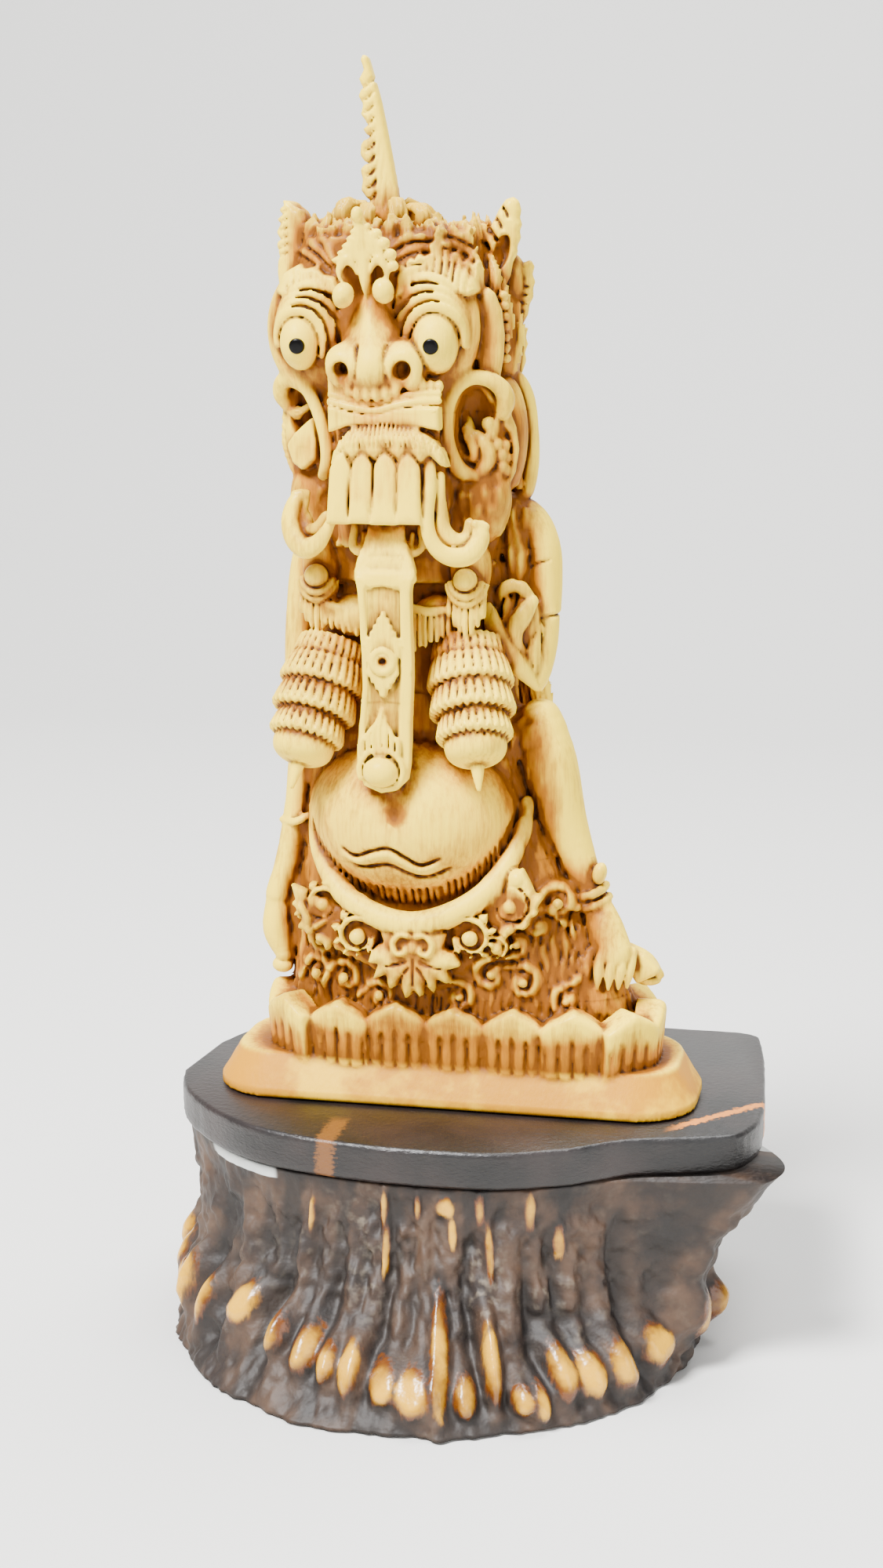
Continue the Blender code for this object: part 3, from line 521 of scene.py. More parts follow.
def grow(host, tree, name, **values):
    """Runs Geometry Nodes on a host mesh with named inputs and returns the result as a plain mesh object."""
    change = host.modifiers.new(tree.name, "NODES")
    change.node_group = tree
    sockets = {s.name: s.identifier for s in tree.interface.items_tree if s.in_out == "INPUT"}
    for key, value in values.items():
        change[sockets[key]] = value
    host.update_tag()
    bpy.context.view_layer.update()
    graph = bpy.context.evaluated_depsgraph_get()
    mesh = bpy.data.meshes.new_from_object(host.evaluated_get(graph))
    mesh.name = name
    host.modifiers.clear()
    result = bpy.data.objects.new(name, mesh)
    bpy.context.scene.collection.objects.link(result)
    return result


def row_along(c, tree, points, item_shape, count, uneven, seed, closed=False, blend=0.1):
    """Sets a small shape in a row along a path and fuses the row with the carving."""
    links = [(i, i + 1) for i in range(len(points) - 1)]
    if closed:
        links.append((len(points) - 1, 0))
    corners = [tuple(np.array(p) * MM + np.array(FIGURE_PLACE)) for p in points]
    mesh = bpy.data.meshes.new("row_path")
    mesh.from_pydata(corners, links, [])
    path = bpy.data.objects.new("row_path", mesh)
    bpy.context.scene.collection.objects.link(path)
    item = new_mesh_object("row_item", np.array(item_shape[0]) * MM, item_shape[1], place=False)
    turn_outwards(item)
    row = grow(path, tree, "row", Item=item, Count=count, Unevenness=uneven, Seed=seed)
    bpy.data.objects.remove(path)
    bpy.data.objects.remove(item)
    c.fuse(row, blend)


def bead_shape(radii):
    """A small egg as corners and faces, in millimetres."""
    shapes = bmesh.new()
    bmesh.ops.create_icosphere(shapes, subdivisions=2, radius=1, matrix=Matrix.Diagonal((*radii, 1)))
    corners = [tuple(v.co) for v in shapes.verts]
    faces = [[v.index for v in f.verts] for f in shapes.faces]
    shapes.free()
    return corners, faces


def petal_shape(width, height, foot, lines):
    """One lotus petal as corners and faces: domed, scalloped on top and scored upright below."""
    across, up = 36, 26
    corners, faces = [], []
    for row in range(up + 1):
        v = row / up
        for column in range(across + 1):
            u = 2 * column / across - 1
            top = height - 1.95 * abs(u) ** 1.7 + 0.3 * math.exp(-((u / 0.2) ** 2))
            z = foot + (top - foot) * v
            score = max(0.0, math.cos(math.pi * lines * u / 2)) ** 3
            score *= 0.6 * (1 - min(1, max(0, (v - 0.5) / 0.14))) * (abs(u) < 0.93)
            roll = math.sqrt(max(0.0, 1 - max(0.0, (v - 0.86) / 0.14) ** 2))
            out = (0.75 * (1 - abs(u) ** 2.6) ** 0.7 + 0.65 * v + 0.1) * (0.35 + 0.65 * roll) - score
            corners.append((u * width / 2, -out, z))
    front = len(corners)
    corners += [(x, 2.4, z) for x, _, z in corners[:front]]
    wide = across + 1
    for row in range(up):
        for column in range(across):
            a = row * wide + column
            face = (a, a + 1, a + 1 + wide, a + wide)
            faces.append(face)
            faces.append(tuple(front + i for i in reversed(face)))
    edge = [(i, i + 1) for i in range(across)]
    edge += [(across + wide * r, across + wide * (r + 1)) for r in range(up)]
    edge += [(i + 1 + wide * up, i + wide * up) for i in range(across)]
    edge += [(wide * (r + 1), wide * r) for r in range(up)]
    for a, b in edge:
        faces.append((b, a, a + front, b + front))
    return corners, faces


def carve_trunk(c):
    """Head, chest, hips and skirt, the mass that everything else is carved on."""
    c.column(
        [
            (-7.6, 1.5, 66, 11.5, 7.5),
            (-8.0, 1.0, 75, 12.4, 8.2),
            (-8.8, 0.5, 83, 12.4, 9.0),
            (-9.0, 0.5, 91, 12.4, 9.4),
            (-9.2, 0.5, 100, 12.4, 9.6),
            (-9.6, 0.8, 106, 11.7, 9.2),
            (-9.8, 1.0, 108.6, 10.8, 8.4),
        ]
    )
    c.column(
        [
            (0.0, 0.2, 3, 23.6, 9.0),
            (-0.8, 0.2, 12, 22.6, 8.8),
            (-2.4, 0.4, 20, 20.1, 8.4),
            (-4.6, 0.8, 30, 17.2, 7.8),
            (-6.6, 1.2, 40, 14.8, 7.4),
            (-7.0, 1.6, 50, 13.1, 7.2),
            (-7.2, 2.0, 58, 13.1, 7.0),
            (-7.4, 2.2, 68, 12.0, 7.0),
        ],
        blend=1.0,
    )


def carve_mane(c):
    """Long locks of hair that hang down the back."""
    locks = 11
    for index in range(locks):
        share = index / (locks - 1) - 0.5
        points = []
        for z in (109, 98, 86, 74, 62, 50, 38, 26, 15):
            fall = (109 - z) / 94
            wave = 0.8 * math.sin(z * 0.22 + index * 1.1)
            bow = 1 - 2.2 * share * share
            points.append((-9.4 + 6.4 * fall + (19 + 13 * fall) * share + wave, 5.4 + 4.2 * bow - 0.8 * fall,
                           z))
        c.tube(points, [1.3, 1.6, 1.8], flat=0.95, facing=(0, 1, 0), strands=5, score=0.3, blend=0.15,
               steps=4)


def carve_crown(c):
    """The flame spike, the tufted hair of the rim and the leaves that stand out beside the head."""
    rng = np.random.default_rng(7)
    spans, x, y, z = c.block((-23, -10, 101), (5, 11, 112))
    dx, dy = x - CROWN_MIDDLE[0], y - CROWN_MIDDLE[1]
    angle = np.arctan2(dy, dx)
    away = ((np.abs(dx) / 12.0) ** 2.5 + (np.abs(dy) / 9.3) ** 2.5) ** 0.4
    steps = np.linspace(-math.pi, math.pi, 97)
    jags = rng.uniform(-0.9, 0.9, 96)
    jags = np.append(jags, jags[0])
    rise = 109.6 + 1.0 * np.interp(angle, steps, jags) + 0.4 * np.cos(angle * 5)
    strand = 0.33 * np.abs(np.sin(angle * 44 + 1.4 * np.sin(z * 0.9) + 0.8 * np.sin(angle * 9)))
    strand = (strand + 0.25 * np.sin(angle * 17 + z * 0.35)) * (1 - (dy < -5) * (1 - ease(z, 107, 108.8)))
    wall = (away - 1) * 9.6 + 0.55 - 0.07 * (z - 105) + strand
    lip = z - rise + 1.1 * np.clip(0.8 - away, 0,
                                   1) + 0.8 * np.abs(np.sin(away * 26 + angle * 3)) * (away > 0.3)
    c.add(spans, np.maximum(np.maximum(wall, lip), 102.2 - z), 0.3)
    c.dye((*CROWN_MIDDLE, 109.2), (17, 13, 4.6), 0.85)
    for index in range(30):
        turn = 2 * math.pi * (index + rng.uniform(-0.3, 0.3)) / 30
        reach = rng.uniform(0.86, 1.0)
        px = CROWN_MIDDLE[0] + 11.6 * reach * math.cos(turn)
        py = CROWN_MIDDLE[1] + 9.0 * reach * math.sin(turn)
        top = 109.9 + rng.uniform(-0.3, 1.0)
        c.tube(
            [(px, py, 105.5), (px, py * 1.01, 108.2), (px - 0.25 * math.cos(turn), py - 0.25 * math.sin(turn),
                                                       top)],
            [0.7, 0.95, 0.3],
            blend=0.3,
            strands=3,
            score=0.25,
            facing=(math.cos(turn), math.sin(turn), 0),
        )
    for index in range(9):
        turn = 2 * math.pi * index / 9 + 0.3
        px, py = -11.2 + 5.0 * math.cos(turn), 1.4 + 3.6 * math.sin(turn)
        c.tube(
            [(px, py, 108.4), (px + 0.9 * math.cos(turn), py + 0.7 * math.sin(turn),
                               110.2 + 0.5 * (index % 2)),
             (px + 0.2 * math.cos(turn), py + 0.1 * math.sin(turn), 111.4 + 0.5 * (index % 2)),
             (px - 1.2 * math.cos(turn), py - 0.9 * math.sin(turn), 111.6 + 0.5 * (index % 2))],
            [1.2, 1.35, 1.1, 0.7],
            flat=0.75,
            facing=(math.cos(turn), math.sin(turn), 0.3),
            strands=4,
            score=0.3,
            blend=0.2,
        )
    blade = [
        (-13.6, 129.9), (-13.9, 129.2), (-13.5, 128.0), (-14.1, 126.9), (-13.7, 126.0), (-14.2, 124.9),
        (-13.6, 123.9),
        (-13.9, 122.7), (-13.2, 121.9), (-13.6, 120.9), (-13.1, 120.2), (-13.9, 119.2), (-14.0, 117.9),
        (-13.3, 116.9),
        (-14.0, 116.2), (-13.7, 114.9), (-13.9, 113.7), (-13.0, 112.4), (-12.9, 110.6), (-9.0, 110.6),
        (-9.2, 112.9),
        (-9.7, 115.6), (-10.3, 118.6), (-10.9, 121.6), (-11.5, 124.4), (-12.3, 127.2), (-13.0, 129.5),
    ]
    c.plate(blade, 1.6, 1.9, dome=0.35, rounding=0.45, blend=0.3)
    c.tube([(-11.3, 1.6, 109.5), (-11.2, 1.6, 113), (-11.7, 1.6, 119), (-12.6, 1.6, 125)],
           [1.9, 1.6, 1.2, 0.8],
           blend=0.4)
    for index in range(10):
        height = 112.6 + 1.5 * index
        edge = -13.2 - 0.06 * index
        c.groove([(edge + 0.1, height - 0.3), (edge + 0.9, height + 0.1), (edge + 1.5, height + 0.9)], 0.3,
                 0.35, back=4)
    c.comb([(-12.6, 111), (-12.9, 120), (-13.2, 127), (-12.4, 126), (-10.6, 118), (-9.6, 111)], 0.75, 0.18,
           angle=-8,
           back=4)
    c.dye((-13.2, 1.0, 117), (1.0, 3, 6), 0.6)
    crest = [
        (-19.4, 110.0), (-20.2, 111.2), (-21.6, 112.2), (-22.6, 112.5), (-22.4, 111.8), (-23.1, 111.4),
        (-22.8, 110.7),
        (-23.4, 110.1), (-23.0, 109.4), (-23.5, 108.6), (-23.1, 107.9), (-23.5, 107.1), (-23.2, 106.2),
        (-23.4, 104.0),
        (-23.1, 101.0), (-22.4, 99.2), (-21.2, 99.0), (-20.2, 101.0), (-19.8, 105.0),
    ]
    c.plate(crest, -2.2, 2.4, turn=-16, dome=0.5, rounding=0.5, blend=0.15)
    for index in range(6):
        height = 105.6 + 1.0 * index
        c.groove([(-23.4, height), (-22.6, height + 0.25), (-21.9, height + 0.7)], 0.26, 0.3, back=1)
    c.egg((-22.6, -3.2, 100.4), (1.1, 1.6, 1.9), blend=0.06)
    c.groove([(-22.6, 102.2), (-22.9, 100.4), (-22.4, 98.8)], 0.3, 0.35, back=0)
    wing = [
        (0.6, 104.0), (1.1, 106.4), (2.3, 108.9), (3.5, 111.2), (4.3, 112.4), (5.2, 112.7), (5.9, 112.2),
        (6.2, 111.0),
        (6.0, 110.2), (6.3, 109.4), (6.0, 108.6), (6.2, 107.8), (5.7, 106.8), (5.8, 106.0), (5.2, 105.0),
        (4.9, 103.2),
        (3.9, 101.4), (2.4, 101.0),
    ]
    c.plate(wing, 0.6, 2.8, turn=14, dome=0.6, rounding=0.6, blend=0.2)
    c.egg((4.2, -1.3, 106.2), (1.0, 1.3, 2.1), turn=(0, 14, 0), cut=True, blend=0.2)
    c.dye((4.1, -0.6, 106.2), (1.3, 1.6, 2.2), 0.9)
    for index in range(4):
        height = 106.4 + 1.35 * index
        left = 1.7 + 0.72 * index
        c.groove([(left, height + 1.1), (left + 0.7, height + 0.5), (left + 1.1, height - 0.5)], 0.42, 0.7,
                 back=3,
                 taper=0.3)
        c.dye((left + 0.6, -1.0, height + 0.4), (0.7, 1.5, 0.8), 0.75)
    second = [
        (3.2, 97.8), (3.8, 100.4), (5.0, 103.2), (6.0, 104.9), (6.9, 105.3), (7.4, 104.4), (7.1, 103.5),
        (7.5, 102.6),
        (7.2, 101.8), (7.3, 100.8), (6.8, 99.9), (6.6, 98.6), (5.8, 97.2), (4.6, 96.4),
    ]
    c.plate(second, 3.4, 2.4, turn=16, dome=0.5, rounding=0.5, blend=0.15)
    c.groove([(4.6, 98.2), (5.6, 100.8), (6.3, 103.4)], 0.4, 0.5, back=6)
    for index in range(4):
        c.groove([(5.4 + 0.2 * index, 99.2 + index), (6.6 + 0.2 * index, 98.9 + index)], 0.28, 0.4, back=6)
    third = [(3.4, 90.6), (3.8, 93.4), (4.6, 95.6), (5.6, 97.2), (6.3, 97.0), (6.0, 95.9), (6.3, 95.0),
             (5.9, 94.0),
             (6.1, 93.0), (5.6, 91.6), (4.8, 90.2)]
    c.plate(third, 5.2, 2.2, turn=18, dome=0.4, rounding=0.4, blend=0.15)
    c.groove([(4.4, 92.0), (5.2, 94.2), (5.7, 96.2)], 0.35, 0.45, back=8)
    smooth_leaf = [(1.7, 90.6), (1.5, 94.0), (1.6, 97.4), (1.4, 99.6), (2.0, 101.4), (2.9, 101.9),
                   (3.8, 101.2),
                   (4.6, 99.2), (5.0, 96.4), (4.9, 93.6), (4.4, 90.8)]
    c.plate(smooth_leaf, -3.9, 2.8, turn=16, dome=0.7, rounding=0.6, blend=0.1)
    c.groove([(2.0, 97.0), (2.1, 99.4), (2.6, 101.0)], 0.3, 0.35, back=-3)
    c.dye((1.6, -4.8, 94.6), (0.9, 2, 3.0), 0.7)
    for centre, radii in (
        ((3.0, 1.4, 103), (1.7, 3.0, 5.0)), ((4.3, 2.0, 96), (1.9, 3.4, 6.5)),
        ((5.0, 2.6, 102.6), (1.5, 2.2, 3.4))
    ):
        c.egg(centre, radii, blend=0.2)
    for start, middle, end in (
        ((4.4, -1.8, 94), (5.0, -1.8, 98), (4.4, -1.4, 102.5)),
        ((5.2, 0.6, 92), (5.9, 0.8, 96), (5.6, 1.2, 100)),
        ((3.2, -2.6, 100.5), (3.6, -2.4, 103), (3.0, -2.0, 105.4)),
        ((1.6, -5.0, 100.6), (1.9, -4.8, 103.4), (1.4, -4.6, 106)),
    ):
        c.tube([start, middle, end], [0.8, 1.0, 0.6], strands=3, score=0.3, blend=0.15)
    for index in range(7):
        height = 93.4 + 1.25 * index
        c.egg((5.1 - 0.06 * index, -2.8, height), (0.62, 0.8, 0.6), blend=0.08)


def carve_forehead(c):
    """The serrated leaf over the nose with its two drops, the brow ridges and the spiked brow plate."""
    for (x, y, z), inward in zip(EYES, (1, -1)):
        c.egg((x + 1.0 * inward, y + 2.7, z + 1.6), (6.0, 3.2, 8.0), blend=0.8)
    c.column([(-9.4, 0.7, 99, 12.0, 9.5), (-9.4, 0.7, 104, 11.8, 9.9), (-9.5, 0.9, 107.6, 11.2, 9.7)],
             blend=0.6)
    for ridge in (
        [(-8.4, 106.0), (-5.7, 107.7), (-2.7, 107.9)], [(-7.8, 104.9), (-5.4, 106.3), (-2.7, 106.6)],
        [(-7.4, 103.8), (-5.4, 105.0), (-3.6, 105.3)], [(-2.1, 108.7), (0.3, 107.9), (2.2, 106.4),
                                                        (3.0, 104.8)],
        [(-1.8, 107.3), (0.3, 106.5), (1.8, 105.2)], [(-17.0, 107.9), (-15.6, 106.0), (-14.4, 104.4)],
        [(-19.2, 107.5), (-17.0, 106.2), (-15.2, 104.6)], [(-21.0, 106.6), (-18.6, 105.8), (-16.6, 104.4)],
    ):
        c.groove(ridge, 0.8, -0.35, back=-4, taper=0.1)
        c.groove([(x - 0.1, z - 0.66) for x, z in ridge], 0.26, 0.36, back=-4, taper=0.1)
    spine = [
        (-2.3, 109.4), (-2.8, 107.9), (-2.7, 107.4), (-3.2, 106.8), (-3.1, 106.0), (-3.8, 105.4),
        (-4.4, 105.9),
        (-4.8, 104.9), (-5.4, 105.2), (-5.9, 104.2), (-6.5, 104.2), (-6.9, 103.2), (-7.2, 100.6),
        (-4.6, 101.4),
        (-1.2, 101.8), (1.4, 100.8), (2.6, 101.4), (2.4, 102.9), (2.2, 104.9), (1.6, 104.6), (1.1, 105.4),
        (0.5, 104.9),
        (-0.1, 106.2), (-0.8, 105.9), (-1.1, 107.0), (-1.6, 107.3), (-1.8, 108.6),
    ]
    c.relief(spine, 0.95, back=-4, edge=0.25)
    c.comb([(-6.9, 100.6), (-6.6, 103.2), (-3.2, 104.8), (-1.6, 107.0), (2.0, 104.0), (2.2, 101.0)], 0.8, 0.2,
           angle=-3,
           back=-4, fade=0.4)
    for x in (-1.6, -0.9, -0.2):
        c.groove([(x, 104.9), (x - 0.05, 103.0), (x, 101.6)], 0.22, 0.3, back=-4)
    side_brow = [(-22.4, 101.4), (-21.6, 103.6), (-19.6, 104.6), (-18.9, 104.0), (-17.2, 104.4),
                 (-16.4, 103.4),
                 (-14.9, 103.0), (-13.9, 100.6), (-16.2, 101.6), (-19.0, 102.0), (-21.4, 100.8)]
    c.relief(side_brow, 0.8, back=-2, edge=0.25)
    c.comb([(-21.4, 101.2), (-20.6, 104.2), (-15.2, 103.4), (-14.6, 101)], 0.8, 0.2, angle=8, back=-2,
           fade=0.4)
    leaf = [(-11.35, 110.6)]
    for index in range(6):
        base = -11.7 - 0.36 * index - 0.035 * index**2
        leaf += [(base - 0.32, 109.2 - 0.82 * index), (base - 0.02, 108.8 - 0.82 * index)]
    leaf += [(-13.9, 104.6), (-13.2, 104.3), (-12.2, 105.1), (-11.5, 104.6), (-11.2, 102.6), (-10.6, 100.6),
             (-10.0, 102.6), (-9.9, 104.8), (-9.3, 105.4), (-8.5, 104.8), (-7.8, 104.4)]
    c.plate(leaf + [(-8.2, 107.0), (-9.6, 108.2), (-10.6, 109.2)], -10.3, 2.4, lean=-0.03, dome=0.35,
            rounding=0.35,
            blend=0.05)
    c.egg((-11.35, -11.7, 110.3), (0.72, 0.85, 0.95), blend=0.06)
    for x, z, size in ((-10.2, 108.9, 0.5), (-9.1, 108.0, 0.72), (-8.2, 106.9, 0.8), (-7.4, 105.6, 0.78),
                       (-7.1, 104.3, 0.7)):
        c.egg((x, -11.2, z), (size, size, size * 0.95), blend=0.08)
    for start, top, drop in (((-11.6, 104.2), (-13.5, 104.6), (-13.0, 100.9)),
                             ((-9.7, 104.4), (-8.0, 104.6), (-8.1, 101.4))):
        c.tube(
            [(start[0], -11.2, start[1] - 0.6), ((start[0] + top[0]) / 2, -11.6, top[1] + 0.6),
             (top[0], -11.4, top[1] - 0.6), ((top[0] + drop[0]) / 2, -11.5, 102.9)],
            [0.4, 0.5, 0.55, 0.5],
            blend=0.08,
        )
        c.egg(((start[0] + top[0]) / 2, -11.4, 103.3), (0.8, 1.3, 1.0), cut=True, blend=0.15)
        c.dye(((start[0] + top[0]) / 2, -11.0, 103.4), (1.1, 1.6, 1.3), 1.0)
        c.egg((drop[0], -12.1, drop[1]), (1.3, 1.5, 1.55), turn=(0, 14 if drop[0] < -10 else -8, 0),
              blend=0.2)
    c.dye((-12.7, -13.3, 99.7), (0.9, 1.2, 0.8), 0.5)
    c.dye((-5.2, -9.6, 107.6), (3.4, 2, 1.0), 0.35)
    c.dye((1.4, -8.4, 107.2), (2.6, 2.4, 1.4), 0.4)
    c.dye((-17.8, -8.6, 107.2), (3.0, 2.4, 1.8), 0.45)
    for x, z in ((-6.4, 99.0), (-14.2, 98.4), (-8.9, 100.0)):
        c.dye((x, -10.5, z), (1.3, 2.4, 2.8), 0.7)


EYES = ((-19.1, -8.8, 95.4), (-2.3, -9.4, 95.4))
EYE_SIZES = (0.88, 1.0)


def carve_eyes(c):
    """Bulging eyes under stepped lids that run down beside the nose."""
    for centre, size, inward in zip(EYES, EYE_SIZES, (1, -1)):
        x, y, z = centre

        def lid_path(lid, out=0.0):
            points = []
            for step in range(19):
                share = step / 18
                sweep = -6 + (214 + 9 * lid) * share
                angle = math.radians(sweep if inward < 0 else 180 - sweep)
                px = x + inward * 0.45 * lid + size * (3.4 + 0.68 * lid) * math.cos(angle)
                pz = z + 0.1 + size * (4.15 + 1.08 * lid) * math.sin(angle)
                outward = max(0.0, -(px - x) * inward) / 4
                inner = max(0.0, (px - x) * inward) / 4
                low = max(0.0, z + 1.0 - pz) / 5
                back = 2.2 * outward**2 + 0.9 * inner**2 + 1.6 * low**2
                points.append((px, y - 1.35 + 0.42 * lid + back - out, pz))
            return points

        for lid in (3, 2, 1, 0):
            c.tube(lid_path(lid), [0.45, 0.78, 0.8, 0.78, 0.4], blend=0.03, steps=2)
        for lid in (2.5, 1.5, 0.5):
            c.tube(lid_path(lid, 0.4), [0.02, 0.1, 0.3, 0.32, 0.3, 0.2], cut=True, blend=0.1, steps=2)
        c.egg(centre, (2.9 * size, 3.4, 3.9 * size), blend=0.02)


def carve_nose(c):
    """A broad nose with flared, open nostrils."""
    c.column(
        [(-9.5, -8.4, 90.2, 3.4, 4.2), (-9.5, -8.3, 92.0, 4.6, 5.6), (-9.6, -8.2, 94.2, 5.2, 5.2),
         (-9.7, -8.2, 96.5, 4.3, 4.2),
         (-10.0, -8.2, 99, 2.8, 3.2), (-10.2, -8.2, 102, 1.1, 2.1)],
        squareness=1.45,
        blend=0.5,
    )
    c.egg((-9.5, -11.8, 92.4), (3.2, 2.4, 2.7), blend=1.2)
    for x, size in ((-13.2, 0.95), (-5.7, 1.08)):
        side = 1 if x > -9.5 else -1
        c.egg((x, -11.0, 92.9), (2.45 * size, 2.3, 2.5 * size), turn=(0, 10 * side, 0), blend=1.3)
        c.egg((x, -13.2, 92.0), (1.05 * size, 2.2, 1.15 * size), turn=(14, 12 * side, 0), cut=True, blend=0.3)
        c.tube(arc(x, -12.4, 92.1, 1.6 * size, 1.75 * size, -70, 250, 13, 0.3), [0.35, 0.45, 0.35], blend=0.6,
               steps=2)
        c.dye((x, -12.0, 91.9), (1.3, 2.0, 1.4), 0.9)
        c.groove([(x - 1.9 * side, 95.2), (x - 2.1 * side, 93.2), (x - 1.8 * side, 90.8)], 0.5, 0.35, back=-9)


def carve_mouth(c, rows):
    """Lip ridge, smooth band, ribbed gum, broad teeth and the two curling tusks."""
    c.column(
        [(-8.2, -6.0, 70.5, 7.0, 3.2), (-8.2, -6.4, 78, 7.2, 4.2), (-8.2, -6.9, 86, 7.0, 4.3),
         (-8.4, -6.9, 91, 6.6, 4.3)],
        squareness=2.6,
        blend=0.8,
    )
    band = [
        (-15.0, 87.9), (-12.4, 87.2), (-9.3, 86.7), (-6.4, 87.6), (-4.2, 87.8), (-1.3, 87.8), (-1.2, 85.0),
        (-3.4, 85.4), (-8.4, 85.6), (-12.6, 85.5), (-14.9, 84.7),
    ]
    c.plate(band, -11.3, 2.4, dome=0.2, rounding=0.35, blend=0.08)
    for rise, out, size in ((0.0, -12.3, 0.45), (0.85, -12.0, 0.4)):
        c.tube(
            [(-14.9, out + 0.8, 88.3 + rise), (-12.4, out + 0.1, 87.8 + rise), (-9.3, out, 87.3 + rise),
             (-6.5, out, 88.0 + rise), (-4.2, out + 0.2, 88.4 + rise), (-1.5, out + 0.8, 88.5 + rise)],
            [size],
            blend=0.08,
        )
    row_along(
        c, rows,
        [(-12.3, -11.9, 89.6), (-11.2, -12.3, 89.3), (-9.5, -12.6, 89.2), (-7.8, -12.5, 89.3),
         (-6.6, -12.2, 89.7)],
        bead_shape((0.58, 0.8, 0.85)), 6, 0.08, 3, blend=0.04,
    )
    row_along(
        c, rows, [(-4.6, -11.5, 90.2), (-3.2, -11.0, 90.2), (-1.7, -10.3, 90.2)],
        bead_shape((0.55, 0.8, 0.8)), 4, 0.12, 5, blend=0.04,
    )
    for index in range(6):
        x = -15.0 + 0.52 * index
        c.tube([(x, -10.4 - 0.2 * index, 91.0), (x + 0.1, -11.0 - 0.2 * index, 89.9),
                (x + 0.2, -11.0 - 0.2 * index, 88.9)],
               [0.3, 0.38, 0.3], blend=0.04, steps=3)
    gum = [
        (-14.7, 80.9), (-14.2, 83.0), (-13.2, 84.6), (-11.8, 85.6), (-8.0, 86.0), (-3.9, 85.6), (-2.2, 84.6),
        (-0.9, 82.9), (-0.2, 80.6), (-1.2, 80.9), (-2.3, 81.9), (-3.5, 80.8), (-4.9, 82.1), (-6.2, 81.0),
        (-7.6, 82.3), (-9.1, 81.0), (-10.5, 82.0), (-11.9, 81.0), (-13.1, 82.2), (-14.1, 81.2),
    ]
    c.plate([(-14.0, 74.6), (-14.6, 82.6), (-1.6, 82.6), (-2.2, 74.6)], -10.6, 2.6, dome=0.4, blend=0.3)
    c.plate(gum, -11.2, 2.4, dome=1.5, rounding=0.5, blend=0.04)
    ribs = 23
    for index in range(ribs):
        share = 2 * index / (ribs - 1) - 1
        low = (-7.5 + 7.2 * share, 81.9 - 0.6 * abs(share) ** 3)
        high = (-7.9 + 5.6 * share, 85.9 - 1.1 * share**2)
        middle = ((low[0] + high[0]) / 2 + 0.35 * share, (low[1] + high[1]) / 2 + 0.5 * abs(share))
        start = (low[0] * 0.6 + middle[0] * 0.4, low[1] * 0.6 + middle[1] * 0.4)
        c.groove([start, middle, high], 0.25, 0.42, back=-9, taper=0.2)
    edges = ((-14.5, -14.85), (-11.95, -12.3), (-9.2, -9.4), (-6.3, -6.35), (-3.55, -3.3))
    for index in range(4):
        (top_left, low_left), (top_right, low_right) = edges[index], edges[index + 1]
        peak = (top_left + top_right) / 2 + (0.0 if index else 0.3)
        foot = 73.75 + 0.12 * (index % 2)
        outline = [
            (low_left - 0.12, foot), (top_left - 0.12, 80.4), (top_left + 0.5, 81.8), (peak, 82.6),
            (top_right - 0.5, 81.8), (top_right + 0.12, 80.6), (low_right + 0.12, foot),
        ]
        c.plate(outline, -11.8, 2.8, lean=0.1, dome=0.45, rounding=0.2, blend=0.0)
    for top, low in edges[1:4]:
        c.groove([(top, 81.0), ((top + low) / 2, 77.5), (low, 74.0)], 0.16, 0.22, back=-10.5, taper=0.02)
    for path, sizes, inner, tip in (
        (
            [(-2.5, -12.0, 81.4), (-2.4, -12.3, 78.4), (-2.65, -12.5, 75.4), (-2.5, -12.6, 72.9),
             (-1.5, -12.4, 70.9),
             (0.3, -12.0, 69.9), (2.2, -11.4, 70.2), (3.4, -10.9, 71.8), (3.5, -10.6, 73.4)],
            [0.7, 0.85, 0.85, 0.9, 1.0, 1.15, 1.25, 1.2, 0.95],
            [(-1.35, -11.3, 79.6), (-1.3, -11.4, 75.9), (-0.9, -11.4, 73.4), (0.4, -11.0, 71.9),
             (1.7, -10.6, 72.2),
             (2.1, -10.4, 73.9)],
            [(2.9, -11.0, 73.9), (4.2, -10.7, 73.6)],
        ),
        (
            [(-14.6, -12.1, 74.3), (-15.4, -12.1, 72.7), (-16.6, -11.9, 71.2), (-18.2, -11.3, 70.6),
             (-19.6, -10.7, 71.7), (-20.3, -10.2, 73.7), (-20.0, -9.8, 75.7), (-19.3, -9.5, 76.9)],
            [0.55, 0.8, 1.1, 1.35, 1.4, 1.25, 1.05, 0.75],
            [(-15.7, -11.0, 74.6), (-16.9, -10.8, 73.0), (-18.2, -10.1, 72.7), (-18.8, -9.6, 74.3),
             (-18.5, -9.2, 76.1)],
            [(-19.9, -9.6, 77.0), (-18.3, -9.2, 76.9)],
        ),
    ):
        c.tube(inner, [0.6, 0.75, 0.9, 0.95, 0.8, 0.6], flat=0.9, blend=0.06)
        c.tube(path, sizes, flat=0.85, blend=0.04)
        c.tube(tip, [0.55, 0.45], blend=0.08)
    c.egg((-18.6, -3.2, 76.4), (3.6, 3.0, 5.0), blend=0.3)
    c.egg((1.4, -3.4, 76.4), (4.6, 3.2, 6.0), blend=0.3)
    for centre, radii in (((-17.2, -8.6, 75.8), (1.2, 2.0, 2.4)), ((0.5, -8.8, 75.6), (1.5, 2.2, 2.8))):
        c.egg(centre, radii, cut=True, blend=0.4)
        c.dye(centre, (2.4, 3.0, 3.2), 0.95)


